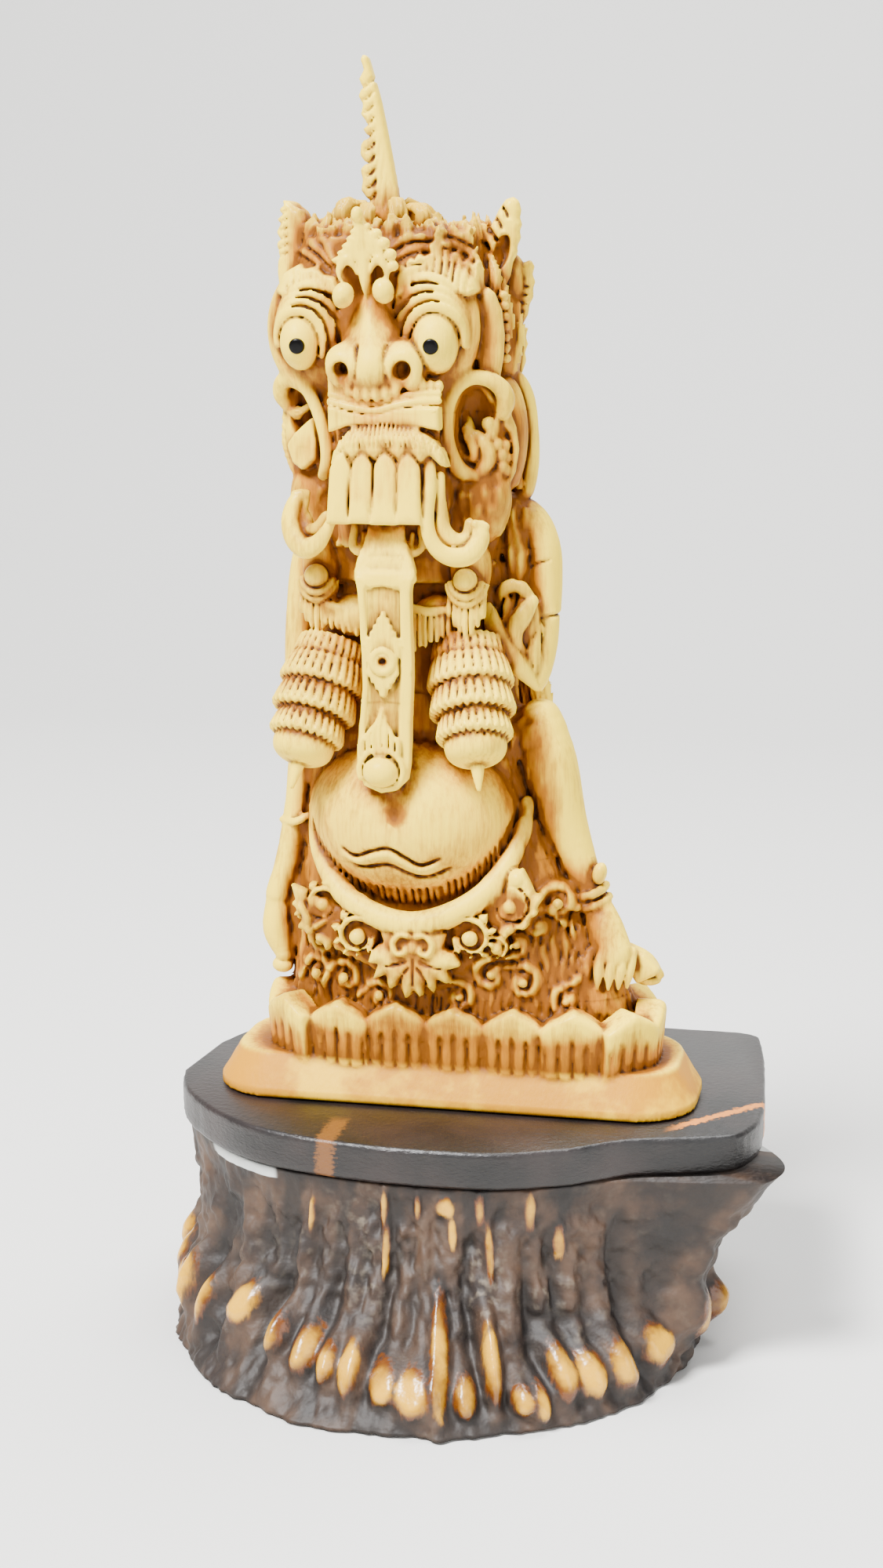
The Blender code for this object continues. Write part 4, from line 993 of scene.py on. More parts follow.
def carve_ears(c, rows):
    """The two flared ears beside the mouth, the beads and the long locks behind them."""
    c.egg((1.9, -3.4, 85.0), (3.2, 2.6, 6.4), blend=0.4)
    c.egg((1.6, -6.1, 86.0), (2.1, 3.0, 4.4), turn=(0, 5, 0), cut=True, blend=0.25)
    c.egg((3.2, -6.2, 87.0), (1.3, 2.2, 2.0), cut=True, blend=0.25)
    c.dye((1.4, -4.4, 86.4), (2.0, 2.6, 3.4), 1.0)
    rim = [(5.0, -4.2, 86.9), (5.4, -4.6, 88.3), (5.0, -5.2, 89.8), (3.6, -6.0, 90.9), (1.6, -6.7, 91.1),
           (-0.2, -7.2, 89.8), (-1.2, -7.6, 87.2), (-1.3, -7.6, 84.2), (-0.7, -7.2, 81.6), (0.3, -6.8, 79.9),
           (1.8, -6.3, 79.3)]
    c.tube(rim, [1.0, 1.15, 1.1, 0.95, 0.85, 0.8, 0.76, 0.8, 0.95, 1.05, 0.8], blend=0.08)
    c.tube([(-0.1, -4.0, 87.2), (0.6, -4.6, 85.4), (1.2, -5.2, 83.8), (1.7, -5.6, 82.4), (1.7, -5.8, 81.4),
            (1.0, -5.8, 81.2)], [0.4, 0.75, 0.85, 0.7, 0.5, 0.35], blend=0.06)
    c.tube([(2.2, -5.4, 84.2), (3.2, -5.4, 82.8), (3.4, -5.4, 81.2), (2.6, -5.8, 79.8)], [0.6, 0.9, 1.0, 0.8],
           blend=0.15)
    c.egg((-19.6, -3.0, 84.6), (3.2, 2.8, 6.6), blend=0.4)
    c.egg((-20.0, -6.2, 86.6), (2.2, 3.0, 4.0), turn=(0, -20, 0), cut=True, blend=0.3)
    c.egg((-20.6, -1.9, 86.8), (1.9, 1.7, 3.8), blend=0.2)
    c.egg((-21.9, -2.8, 88.4), (1.3, 1.9, 2.4), blend=0.2)
    c.dye((-19.6, -4.2, 87.4), (2.4, 2.6, 2.6), 0.7)
    left = [(-22.3, -4.0, 87.6), (-22.9, -4.4, 89.0), (-22.4, -5.2, 90.5), (-20.7, -6.3, 90.9),
            (-18.9, -7.2, 89.7),
            (-17.4, -7.8, 87.0), (-16.5, -8.0, 84.0), (-16.3, -7.8, 81.4), (-17.0, -7.2, 79.2)]
    c.tube(left, [0.85, 1.1, 1.1, 0.95, 0.85, 0.8, 0.78, 0.8, 0.65], blend=0.08)
    c.plate([(-21.7, 82.8), (-20.6, 84.2), (-18.0, 86.2), (-17.2, 83.6), (-17.5, 81.2), (-19.3, 79.7),
             (-20.8, 80.6)],
            -5.6, 2.4, turn=-20, dome=0.2, rounding=0.2, blend=0.04)
    c.tube([(-22.4, -3.4, 87.8), (-21.2, -4.4, 86.6), (-19.4, -5.2, 87.4), (-18.4, -5.6, 88.2)],
           [0.7, 0.8, 0.7, 0.4],
           strands=3, score=0.25, blend=0.1)
    c.tube([(-22.4, -3.2, 87), (-22.6, -3.0, 83), (-21.6, -3.2, 80), (-19.6, -4.0, 77.6)],
           [0.8, 0.8, 0.8, 0.7],
           teeth=12, bite=0.25, blend=0.1)
    for path, size, count, seed in (
        ([(3.3, -4.9, 85.6), (3.8, -4.8, 83.8), (4.6, -4.4, 82.4), (4.9, -4.3, 80.6), (4.2, -4.6, 79.2)], 0.8,
         6, 11),
        ([(5.1, -3.9, 82.9), (5.5, -3.8, 81.5), (5.2, -3.9, 80.0)], 0.72, 3, 12),
        ([(3.6, -5.0, 78.4), (2.5, -5.6, 77.6), (1.4, -6.0, 77.0), (0.4, -6.4, 77.0)], 0.62, 5, 13),
        ([(4.0, -4.6, 77.8), (2.9, -5.2, 76.8), (1.8, -5.8, 76.2)], 0.5, 4, 14),
    ):
        row_along(c, rows, path, bead_shape((size, size * 1.1, size * 1.15)), count, 0.22, seed, blend=0.04)
    c.plate([(3.8, 87.6), (5.0, 87.2), (6.0, 85.2), (6.4, 82.4), (5.9, 79.6), (4.8, 77.6), (4.2, 77.9),
             (5.2, 80.2),
             (5.5, 82.6), (5.0, 84.4), (4.0, 85.4)], -2.8, 2.6, turn=38, dome=0.2, rounding=0.4, blend=0.1)
    c.egg((4.6, 0.2, 84.0), (2.7, 3.6, 7.2), blend=0.2)
    c.tube(
        [(3.6, 2.6, 90.6), (5.2, 3.0, 91.0), (6.5, 3.6, 88.6), (7.0, 3.8, 84.6), (7.1, 3.8, 80.4),
         (6.6, 3.6, 77.0),
         (5.4, 3.4, 75.4)],
        [0.8, 0.9, 1.0, 1.05, 1.05, 0.95, 0.8],
        flat=1.4,
        blend=0.06,
    )
    c.tube([(4.2, 1.6, 88.6), (5.0, 1.8, 87.0), (5.3, 1.8, 82.5), (5.6, 1.8, 79.4), (6.0, 2.2, 77.6)],
           [0.5, 0.75, 0.75, 0.7, 0.5], blend=0.06)


def carve_pendants(c):
    """The ear pendants, each a ball in a cup over a stepped tassel."""
    for x, y, z in ((1.2, -8.4, 66.8), (-18.0, -7.0, 66.8)):
        c.egg((x, y + 3.2, z + 1.0), (2.6, 2.8, 4.2), blend=0.4)
        c.egg((x, y + 1.0, z - 1.6), (2.5, 1.7, 2.3), blend=0.1)
        for reach, rise, size, out in ((2.2, 2.3, 0.5, 0.5), (2.7, 3.3, 0.42, 0.2)):
            c.tube(arc(x, y - out, z + 0.3, reach, rise, 198, 342, bow=1.0), [size * 0.6, size, size * 0.6],
                   flat=1.3, blend=0.03)
        c.egg((x, y - 0.2, z), (1.5, 1.6, 1.45), blend=0.03)
        lengths = (1.6, 2.6, 3.4, 4.9, 3.6, 2.6, 1.5)
        for index, length in enumerate(lengths):
            across = (index - 3) * 0.72
            px = x + across
            py = y + 0.2 + 0.08 * across**2
            c.tube(
                [(px, py + 0.3, z - 2.6), (px + 0.03, py - 0.2, z - 3.0 - length / 2),
                 (px + 0.05, py, z - 3.0 - length)],
                [0.3, 0.35, 0.28],
                flat=1.9,
                blend=0.0,
            )
    for left, right, y0, count in ((-6.0, -1.0, -8.3, 8), (-16.8, -12.0, -7.5, 7)):
        for index in range(count):
            share = index / (count - 1)
            x = left + (right - left) * share
            low = 57.9 + 2.2 * share if left > -10 else 60.8 - 1.2 * share
            y = y0 + 0.5 * (2 * share - 1) ** 2
            c.tube([(x, y + 0.4, 62.6), (x, y, 61.2), (x + 0.05, y - 0.1, low - 0.3 * (index % 2))],
                   [0.3, 0.34, 0.26], flat=1.9, blend=0.0)
        c.tube([(left, y0 + 0.6, 63.2), ((left + right) / 2, y0 + 0.1, 62.8), (right, y0 + 0.6, 63.0)],
               [0.5, 0.55, 0.5], blend=0.05)


def carve_tongue(c):
    """The long tongue that bends over the chin and lies down the front, with the ball at its tip."""
    c.tube([(-8.3, -10.2, 66), (-8.2, -10.4, 54), (-8.0, -11.0, 43.4)], [2.7], flat=0.9, blend=0.3)
    flare = [(-10.4, 74.2), (-10.6, 72.4), (-11.0, 70.9), (-11.5, 69.3), (-11.7, 68.0), (-11.3, 66.9),
             (-4.4, 66.9),
             (-4.1, 68.0), (-4.5, 69.2), (-5.2, 70.8), (-5.7, 72.4), (-5.9, 74.2)]
    c.plate(flare, -11.5, 1.7, lean=0.36, rounding=0.3, blend=0.15)
    c.tube([(-10.9, -12.6, 67.3), (-8.0, -12.75, 67.5), (-4.8, -12.6, 67.3)], [0.85], blend=0.25)
    outline = [
        (-11.5, 67.4), (-11.2, 65.6), (-11.0, 63.0), (-10.8, 58.0), (-10.7, 54.0), (-11.0, 50.4),
        (-11.4, 46.5),
        (-11.4, 43.8), (-10.6, 41.6), (-8.4, 40.7), (-6.4, 41.1), (-5.1, 42.4), (-4.7, 45.0), (-4.6, 50.0),
        (-4.3, 56.0), (-4.5, 61.0), (-4.6, 65.6), (-4.3, 67.4),
    ]
    c.plate(outline, -12.5, 1.9, lean=-0.012, rounding=0.25, blend=0.1)
    inner = [
        (-10.3, 66.0), (-10.0, 60.0), (-9.9, 54.0), (-10.2, 50.0), (-10.5, 46.0), (-8.4, 46.8), (-6.4, 46.0),
        (-6.0, 50.0), (-5.8, 56.0), (-5.8, 61.0), (-5.8, 66.0), (-8.0, 66.4),
    ]
    c.plate(inner, -13.95, 1.7, lean=-0.012, rounding=0.15, blend=0.1, cut=True)
    motif = [(-8.0, 63.6)]
    for index in range(5):
        motif += [(-8.35 - 0.34 * index, 62.6 - 0.78 * index), (-8.72 - 0.34 * index, 62.3 - 0.78 * index)]
    motif += [(-9.9, 58.9), (-9.6, 57.0), (-9.7, 55.4)]
    for index in range(3):
        motif += [(-9.4 + 0.42 * index, 55.3 - 0.75 * index), (-9.2 + 0.42 * index, 54.4 - 0.75 * index)]
    motif += [(-8.0, 52.6)]
    motif = [(-8.02 + 1.22 * (x + 8.02), z) for x, z in motif]
    motif += [(x, z) for x, z in mirrored(motif[1:-1], -8.02)[::-1]]
    c.plate(motif, -13.0, 1.5, rounding=0.15, blend=0.02)
    c.egg((-8.0, -13.9, 57.2), (2.0, 0.5, 2.05), cut=True, blend=0.06)
    c.tube(arc(-8.0, -13.65, 57.2, 1.3, 1.35, 0, 360, 17), [0.46], blend=0.04, steps=2)
    c.egg((-8.0, -13.4, 57.2), (1.1, 0.7, 1.1), blend=0.1)
    c.egg((-8.0, -14.1, 57.2), (0.5, 0.8, 0.5), cut=True, blend=0.06)
    c.dye((-8.0, -13.6, 57.2), (0.5, 0.8, 0.5), 1.0)
    rng = np.random.default_rng(5)
    for index in range(7):
        share = index / 6 * 2 - 1
        top = 51.4 - 3.2 * abs(share) ** 1.2 + rng.uniform(-0.3, 0.3)
        x = -8.4 + 2.2 * share
        c.tube([(x * 0.4 - 8.1 * 0.6, -13.0, top), (x, -13.55, (top + 46.6) / 2),
                (x + 0.1 * share, -13.5, 45.8)],
               [0.18, 0.33, 0.3], flat=1.5, blend=0.0)
    c.tube(arc(-8.3, -13.4, 43.6, 2.75, 2.7, 200, -40, 11), [0.42], flat=1.2, blend=0.05, steps=3)
    c.egg((-8.3, -13.6, 43.5), (2.25, 2.0, 1.95), blend=0.05)
    for side in (-1, 1):
        hollow = [(-8.1 + 4.2 * side, -9.6, 73.4), (-8.1 + 4.3 * side, -10.4, 71.0),
                  (-8.1 + 3.4 * side, -10.9, 70.2),
                  (-8.1 + 2.9 * side, -10.6, 71.1), (-8.1 + 3.0 * side, -10.0, 72.4)]
        c.tube(hollow, [0.5, 0.6, 0.5, 0.4, 0.35], blend=0.15)
        c.dye((-7.6 + 3.0 * side, -10.4, 71.6), (1.6, 1.6, 2.0), 0.8)


def carve_breasts(c):
    """Two hanging breasts, each of stepped fringes that end in a nipple."""
    steps_down = (-1.0, 2.9, 6.5, 10.1, 13.3, 16.4)
    rims = (4.7, 5.5, 5.45, 4.85, 3.9)
    folds = 28

    def reach(height, angle):
        wave = np.abs(((angle * folds / (2 * math.pi)) % 1) - 0.5) * 2
        shifted = height + 0.5 * wave
        radius = np.zeros(np.broadcast(height, angle).shape)
        for tier in range(5):
            top, low = steps_down[tier], steps_down[tier + 1]
            t = np.clip((shifted - top) / (low - top), 0, 1)
            within = (shifted >= top) & (shifted < low) if tier < 4 else shifted >= top
            if tier < 4:
                shape = rims[tier] * (0.84 + 0.18 * t**0.7) - 0.4 * np.clip((t - 0.84) / 0.16, 0, 1) ** 2
                score = 0.38 * (wave < 0.4) * (1 - wave / 0.4) * np.clip(t / 0.2, 0, 1)
            else:
                whole = np.clip((height - top) / (low - top), 0, 1)
                shape = rims[tier] * np.sqrt(np.clip(1 - (whole * 0.97) ** 3.2, 0, 1))
                score = 0.3 * (wave < 0.4) * (1 - wave / 0.4) * np.clip(1 - whole / 0.4, 0, 1)
            radius = np.where(within, shape - score, radius)
        return radius

    for root, tip in (((0.6, -4.2, 58.6), (3.1, -11.0, 46.0)), ((-16.6, -4.0, 58.0), (-19.0, -10.2, 46.0))):
        root, tip = np.array(root), np.array(tip)
        direction = unit(tip - root)
        c.lathe(root, root + direction * 16.4, reach, 6.2, blend=0.05)
        end = root + direction * 15.9
        c.tube([end, end + direction * 1.6, end + direction * 3.2 + (0, 0, -0.3)], [0.95, 0.72, 0.34],
               blend=0.08)
    for x, z in ((-13.6, 62.4), (-2.6, 62.6)):
        c.egg((x, -5.6, z - 0.6), (3.4, 2.6, 2.6), blend=0.4)


def carve_belly(c):
    """The round belly in its belt, with its navel, wavy folds and hatched rim."""
    c.egg((-6.2, -1.2, 34.6), (14.4, 9.7, 12.2), blend=0.3)
    c.egg((-6.5, -1.6, 35.9), (13.9, 11.4, 11.3), blend=0.1)
    c.groove([(-6.6, 42), (-6.9, 38.6), (-7.2, 35.4)], 3.0, 0.45, back=-6, taper=0.4)
    c.egg((-6.9, -13.3, 38.2), (0.9, 1.1, 1.15), cut=True, blend=0.25)
    c.dye((-6.9, -12.6, 38.0), (1.1, 1.4, 1.3), 0.9)
    upper = [(-14.2, 33.2), (-12.3, 32.2), (-9.9, 33.1), (-7.7, 33.6), (-5.8, 32.6), (-3.7, 31.5),
             (-1.1, 32.5)]
    lower = [(-13.9, 31.6), (-11.3, 30.8), (-7.9, 31.4), (-5.4, 30.3), (-3.1, 29.8), (0.1, 31.2)]
    c.groove([(x, z - 0.85) for x, z in upper], 0.75, -0.35, back=-6, taper=0.1)
    c.groove(upper, 0.34, 0.6, back=-6)
    c.groove(lower, 0.34, 0.5, back=-6)
    marks = 40
    for index in range(marks):
        share = index / (marks - 1)
        angle = math.radians(196 + 158 * share)
        x = -6.2 + 13.3 * math.cos(angle)
        z = 35.9 + 11.0 * math.sin(angle)
        long = 2.4 + 0.9 * abs(math.sin(3 * angle)) + (0.8 if share > 0.6 else 0)
        c.groove([(x, z + 0.3), (x + 0.1, z + long)], 0.24, 0.42, back=-2, taper=0.25)
    belt = [(-19.4, -3.0, 36.6), (-18.2, -5.6, 31.4), (-14.6, -8.6, 26.8), (-9.6, -10.0, 24.2),
            (-4.3, -10.3, 23.6),
            (1.6, -9.5, 25.9), (5.4, -7.6, 29.5), (7.7, -4.9, 34.2), (8.1, -3.0, 38.2)]
    c.tube(belt, [1.0, 1.25, 1.45, 1.55, 1.6, 1.5, 1.35, 1.15, 0.8], blend=0.1)


def scroll_leaf(c, x, y, z, size, start, hand, teeth):
    """A curling leaf with a notched outer edge, closed round a small ball."""
    outer, inner, middle = [], [], []
    sweep = 290
    count = teeth * 2
    for index in range(count + 1):
        share = index / count
        angle = math.radians(start + hand * sweep * share)
        line = size * (1 - 0.42 * share)
        half = size * 0.42 * (1 - 0.6 * share)
        notch = 0.34 * size * (index % 2 == 0) * (share < 0.85)
        for points, reach in ((outer, line + half - notch), (inner, line - 0.7 * half), (middle, line)):
            points.append((x + reach * math.cos(angle), z + reach * math.sin(angle)))
    c.egg((x, y + 0.9, z), (size * 0.9, 1.3, size * 0.9), blend=0.2)
    c.plate(outer + inner[::-1], y, 1.7, dome=0.45, rounding=0.35, blend=0.04)
    c.groove(middle, 0.26, 0.4, back=y + 2, steps=2)
    c.egg((x, y - 0.45, z), (size * 0.36, size * 0.42, size * 0.36), blend=0.04)


def carve_apron(c):
    """Scrolls and toothed leaves that hang under the belt, and the curls of the skirt."""
    ground = [(-21.5, 27.5), (-17, 25.8), (-12, 23.6), (-5, 22.6), (3, 24.6), (8.5, 31), (10.5, 27),
              (5, 19.6),
              (0.5, 17.0), (-4.6, 14.4), (-10.5, 17.0), (-15, 18.6), (-20, 22.4)]
    c.plate(ground, -7.9, 2.0, rounding=0.8, blend=0.9)
    skirt = [(-22.5, 27), (-19, 22.5), (-10, 17), (-5, 14.4), (3, 17), (8, 21), (12, 27), (12, 31),
             (14.5, 26), (15.4, 19),
             (17, 12), (4, 10.5), (-20, 11)]
    c.comb(skirt, 1.15, 0.26, angle=3, back=-2, wave=0.2, fade=1.0)
    for x, y, z, size, start, hand in (
        (12.6, -5.9, 25.9, 2.0, 200, -1), (7.6, -8.0, 20.9, 1.9, 90, 1),
        (8.6, -8.3, 16.0, 1.8, 110, -1), (4.6, -8.6, 17.0, 1.8, 80, 1),
        (0.6, -8.8, 13.9, 1.6, 120, -1), (14.0, -7.4, 13.6, 1.5, 100, 1),
        (-17.8, -7.7, 19.9, 1.7, 110, 1), (-18.4, -8.0, 15.6, 1.7, 170, -1),
        (-14.6, -8.4, 15.4, 1.8, 170, -1),
        (-9.8, -8.9, 13.4, 1.6, 150, -1), (-20.6, -6.6, 23.0, 1.4, 90, -1), (10.4, -6.8, 23.4, 1.6, 30, 1),
    ):
        size = 1.25 * size
        line = [(px, pz) for px, _, pz in curl(x, y, z, size, turns=1.1, start=start, hand=hand)]
        c.groove(line, 0.85, -0.7, back=y + 5, steps=2, taper=0.05)
        c.egg((x, y + 0.3, z), (0.62, 0.9, 0.62), blend=0.15)
        tail = math.radians(start - 35 * hand)
        c.groove([line[0], (x + 1.5 * size * math.cos(tail), z + 1.5 * size * math.sin(tail)),
                  (x + 1.7 * size * math.cos(tail), z + 1.9 * size * math.sin(tail))], 0.6, -0.5, back=y + 5)
    for x, y, z, size, start, hand, teeth in (
        (-12.3, -9.6, 21.5, 3.0, 70, 1, 8), (2.2, -9.4, 22.0, 3.0, 110, -1, 8),
        (-17.2, -7.9, 25.0, 2.6, 60, 1, 7),
        (7.0, -7.9, 26.0, 2.8, 100, -1, 7), (5.4, -8.8, 20.6, 2.0, 130, -1, 6),
        (-0.4, -9.5, 18.9, 1.5, 150, -1, 5),
    ):
        scroll_leaf(c, x, y, z, size, start, hand, teeth)
    c.egg((7.8, -7.9, 29.4), (1.3, 1.4, 1.3), blend=0.05)
    broad = [
        (-4.9, 24.2), (-7.6, 23.8), (-9.2, 22.4), (-8.7, 20.9), (-10.4, 19.9), (-10.9, 18.2), (-9.6, 18.1),
        (-10.2, 16.1),
        (-8.5, 16.8), (-8.0, 15.0), (-6.7, 15.8), (-5.9, 13.8), (-4.9, 14.9), (-3.9, 14.0), (-3.5, 15.8),
        (-2.3, 14.5),
        (-1.9, 16.6), (-0.2, 15.8), (-0.6, 17.8), (1.1, 18.4), (0.2, 19.9), (-1.2, 20.6), (-0.8, 22.4),
        (-2.2, 23.8),
    ]
    c.plate(broad, -9.6, 2.0, lean=0.06, dome=0.9, rounding=0.35, blend=0.08)
    for side in (0, 1):
        swirl = [(-4.8, 22.0), (-6.4, 22.3), (-7.5, 21.2), (-6.9, 19.9), (-5.8, 20.2), (-6.0, 21.1)]
        vein = [(-5.6, 18.9), (-6.9, 18.4), (-8.6, 18.0)]
        notch = [(-5.3, 18.2), (-6.2, 17.0), (-6.7, 15.7)]
        for line, width, depth in ((swirl, 0.5, -0.55), (vein, 0.26, 0.4), (notch, 0.26, 0.45)):
            line = mirrored(line, -4.9) if side else line
            c.groove(line, width, depth, back=-7, taper=0.1)
    c.groove([(-4.9, 19.4), (-4.9, 17.4), (-4.9, 15.4)], 0.3, 0.45, back=-7)
    c.egg((-4.9, -10.9, 20.8), (0.8, 0.9, 1.2), blend=0.1)
    c.comb([(-4.6, 11.5), (-4.2, 14.2), (-1.4, 14.0), (-1.4, 11.5)], 0.62, 0.5, back=-6, sharp=1.2)


def carve_arms(c):
    """The bent arm with its long nails on one side, the straight arm on the other."""
    c.tube([(4.0, 3.6, 74.5), (7.0, 3.4, 73.0), (8.6, 3.0, 69.8), (9.1, 2.8, 66), (9.2, 2.6, 62.2)],
           [2.4, 2.5, 2.5, 2.3, 2.1], flat=1.2, blend=0.3)
    c.tube([(9.1, 2.2, 61.6), (8.9, 1.2, 58), (8.9, 0.2, 54.8), (9.0, -0.4, 52.8)], [2.15, 2.25, 1.7, 0.8],
           flat=1.1,
           blend=0.12)
    c.groove([(7.6, 61.0), (9.6, 61.4), (11.6, 61.6)], 0.28, 0.4, back=5)
    c.groove([(6.8, 66.8), (8.4, 68.0), (10.4, 68.6)], 0.26, 0.3, back=5)
    c.tube([(5.2, 0.9, 73.6), (6.0, 0.4, 69), (6.0, 0.4, 65.2)], [1.3, 1.8, 1.2], strands=3, score=0.3,
           blend=0.2)
    c.egg((6.8, -0.9, 61.0), (2.4, 2.3, 4.4), blend=0.3)
    c.egg((6.2, -1.6, 62.6), (1.7, 1.2, 2.2), blend=0.2)
    c.tube([(4.3, -1.6, 63.6), (5.2, -2.3, 65.2), (6.8, -2.4, 65.4), (8.0, -1.6, 63.9)],
           [0.8, 0.95, 0.95, 0.8],
           blend=0.12)
    for top, foot in (((4.9, 64.2), (4.6, 61.2)), ((5.7, 64.6), (5.5, 61.4)), ((6.6, 64.7), (6.2, 62.0))):
        c.groove([top, ((top[0] + foot[0]) / 2, 62.9), foot], 0.3, 0.75, back=0)
    c.tube([(5.6, -2.4, 63.6), (5.4, -3.0, 61.2), (5.2, -3.0, 59.2)], [0.5, 0.55, 0.4], blend=0.05)
    c.tube([(3.1, -3.2, 63.0), (3.9, -3.9, 60.6), (5.1, -4.0, 58.2), (6.7, -3.2, 55.7), (8.9, -1.7, 52.7)],
           [0.6, 1.2, 1.35, 1.2, 0.5], flat=0.7, blend=0.05)
    c.tube([(4.9, -2.9, 60.4), (5.8, -3.1, 58.2), (7.2, -2.4, 55.8), (8.9, -1.2, 53.4)],
           [0.7, 1.1, 1.05, 0.5], flat=0.75,
           blend=0.05)
    c.tube([(8.3, -2.0, 63.6), (7.3, -2.9, 61.9), (6.4, -3.2, 60.1), (6.5, -3.1, 58.6), (7.3, -2.6, 57.5)],
           [0.9, 1.25, 1.2, 1.0, 0.6], blend=0.05)
    c.tube([(8.9, -0.9, 60.2), (8.5, -1.7, 57.6), (8.7, -1.4, 55.0)], [0.9, 1.1, 0.8], strands=3, score=0.3,
           blend=0.1)
    c.dye((3.6, -3.6, 61.0), (0.8, 1.4, 2.2), 0.8)
    c.dye((5.5, -2.6, 62.6), (1.6, 1.2, 1.6), 0.9)
    c.egg((6.3, 0.2, 52.4), (1.1, 2.6, 2.3), cut=True, blend=0.4)
    c.tube([(-19.0, 2.6, 73), (-21.2, 2.9, 68), (-22.1, 2.5, 61), (-22.3, 1.5, 53), (-21.8, 0.6, 46)],
           [2.3, 2.5, 2.4, 2.2, 2.0], flat=1.3, blend=0.3)


def carve_legs(c):
    """Raised knees and the shins that come down to the anklets and feet at each side."""
    c.tube([(-1, 3, 42), (5, 2, 45.4), (9.2, 0.4, 46.8)], [4.2, 4.0, 3.3], blend=0.8)
    c.tube([(9.2, 0.4, 48.3), (10.4, 0.2, 43), (12.2, 0.2, 35.5), (14.8, -0.4, 29.2), (16.1, -1.0, 26.4)],
           [2.7, 3.5, 3.05, 2.2, 1.85], flat=1.1, blend=0.4)
    c.tube([(8.6, -2.6, 30), (11.4, -3.4, 27.2), (14.6, -3.4, 25.0)], [0.5, 0.8, 0.7], flat=1.0, blend=0.3)
    for drop, size in ((0.0, 0.6), (1.45, 0.55)):
        band = [(14.4, -1.2, 26.0), (15.1, -2.8, 26.2), (16.5, -3.2, 26.7), (17.6, -2.3, 27.2),
                (18.0, -0.6, 27.5)]
        c.tube([(x + 0.3 * drop, y, z - drop) for x, y, z in band], [size], flat=0.8, blend=0.03)
    c.egg((17.3, -2.0, 29.2), (0.95, 1.2, 1.5), turn=(0, 14, 0), blend=0.05)
    c.tube([(16.7, -1.2, 25.2), (18.2, -2.2, 22.2), (19.2, -3.0, 19.2)], [1.9, 2.3, 2.6], flat=0.9, blend=0.2)
    for x, y, top, foot, end in (
        (16.3, -4.5, 19.4, 15.3, 0.5), (17.8, -4.9, 20.0, 14.9, 0.22), (19.2, -4.7, 20.0, 14.8, 0.22),
        (20.4, -4.2, 19.8, 14.8, 0.22), (21.4, -3.4, 19.4, 14.8, 0.22),
    ):
        c.tube([(x + 0.3, y + 0.7, top), (x, y - 0.2, (top + foot) / 2), (x - 0.2, y - 0.2, foot)],
               [0.7, 0.75, end],
               blend=0.03)
    c.plate([(21.3, 19.2), (23.1, 18.8), (24.2, 17.9), (25.2, 16.9), (24.6, 16.1), (23.8, 15.7), (22.2, 14.9),
             (21.2, 16.5)],
            -0.9, 1.8, dome=0.4, blend=0.1)
    c.tube([(20.9, -0.4, 18.0), (23.0, 0.4, 17.2), (25.0, 0.8, 15.6)], [1.9, 1.4, 0.5], flat=1.2, blend=0.12)
    c.egg((23.4, 0.6, 14.9), (1.7, 1.2, 0.7), blend=0.1)
    c.tube([(-12, 3, 41), (-18, 2, 43), (-22, 0.6, 41)], [4.0, 3.4, 2.0], blend=0.8)
    c.tube([(-21.8, 0.4, 44), (-22.5, 0.2, 36), (-23.7, 0.0, 29), (-25.0, -0.4, 24.2)], [1.9, 1.9, 1.9, 1.95],
           flat=1.5, blend=0.3)
    c.tube([(-25.0, -0.5, 23.2), (-25.2, -0.8, 19.6), (-24.2, -1.6, 16.4)], [1.9, 2.1, 1.3], flat=1.4,
           blend=0.08)
    c.tube([(-20.4, -2.6, 35.4), (-22.2, -3.0, 34.4), (-24.4, -1.0, 34.2)], [0.5], flat=1.2, blend=0.05)
    c.egg((-24.4, -1.8, 14.9), (1.5, 1.5, 1.1), blend=0.1)
    c.egg((-21.6, 0.6, 22), (3.2, 3.0, 8), blend=0.3)


def petal_path(length, depth, front_corner, back_corner, z):
    """The line that the petals stand on, as points from the middle of its front round to the right."""
    points = []
    for sign_x, sign_y, first in ((1, -1, 270), (1, 1, 0), (-1, 1, 90), (-1, -1, 180)):
        corner = back_corner if sign_y > 0 else front_corner
        centre_x, centre_y = sign_x * (length / 2 - corner), sign_y * (depth / 2 - corner)
        for step in range(9):
            angle = math.radians(first + 90 * step / 8)
            points.append((centre_x + corner * math.cos(angle), centre_y + corner * math.sin(angle), z))
    return [(0.1, -depth / 2, z)] + points


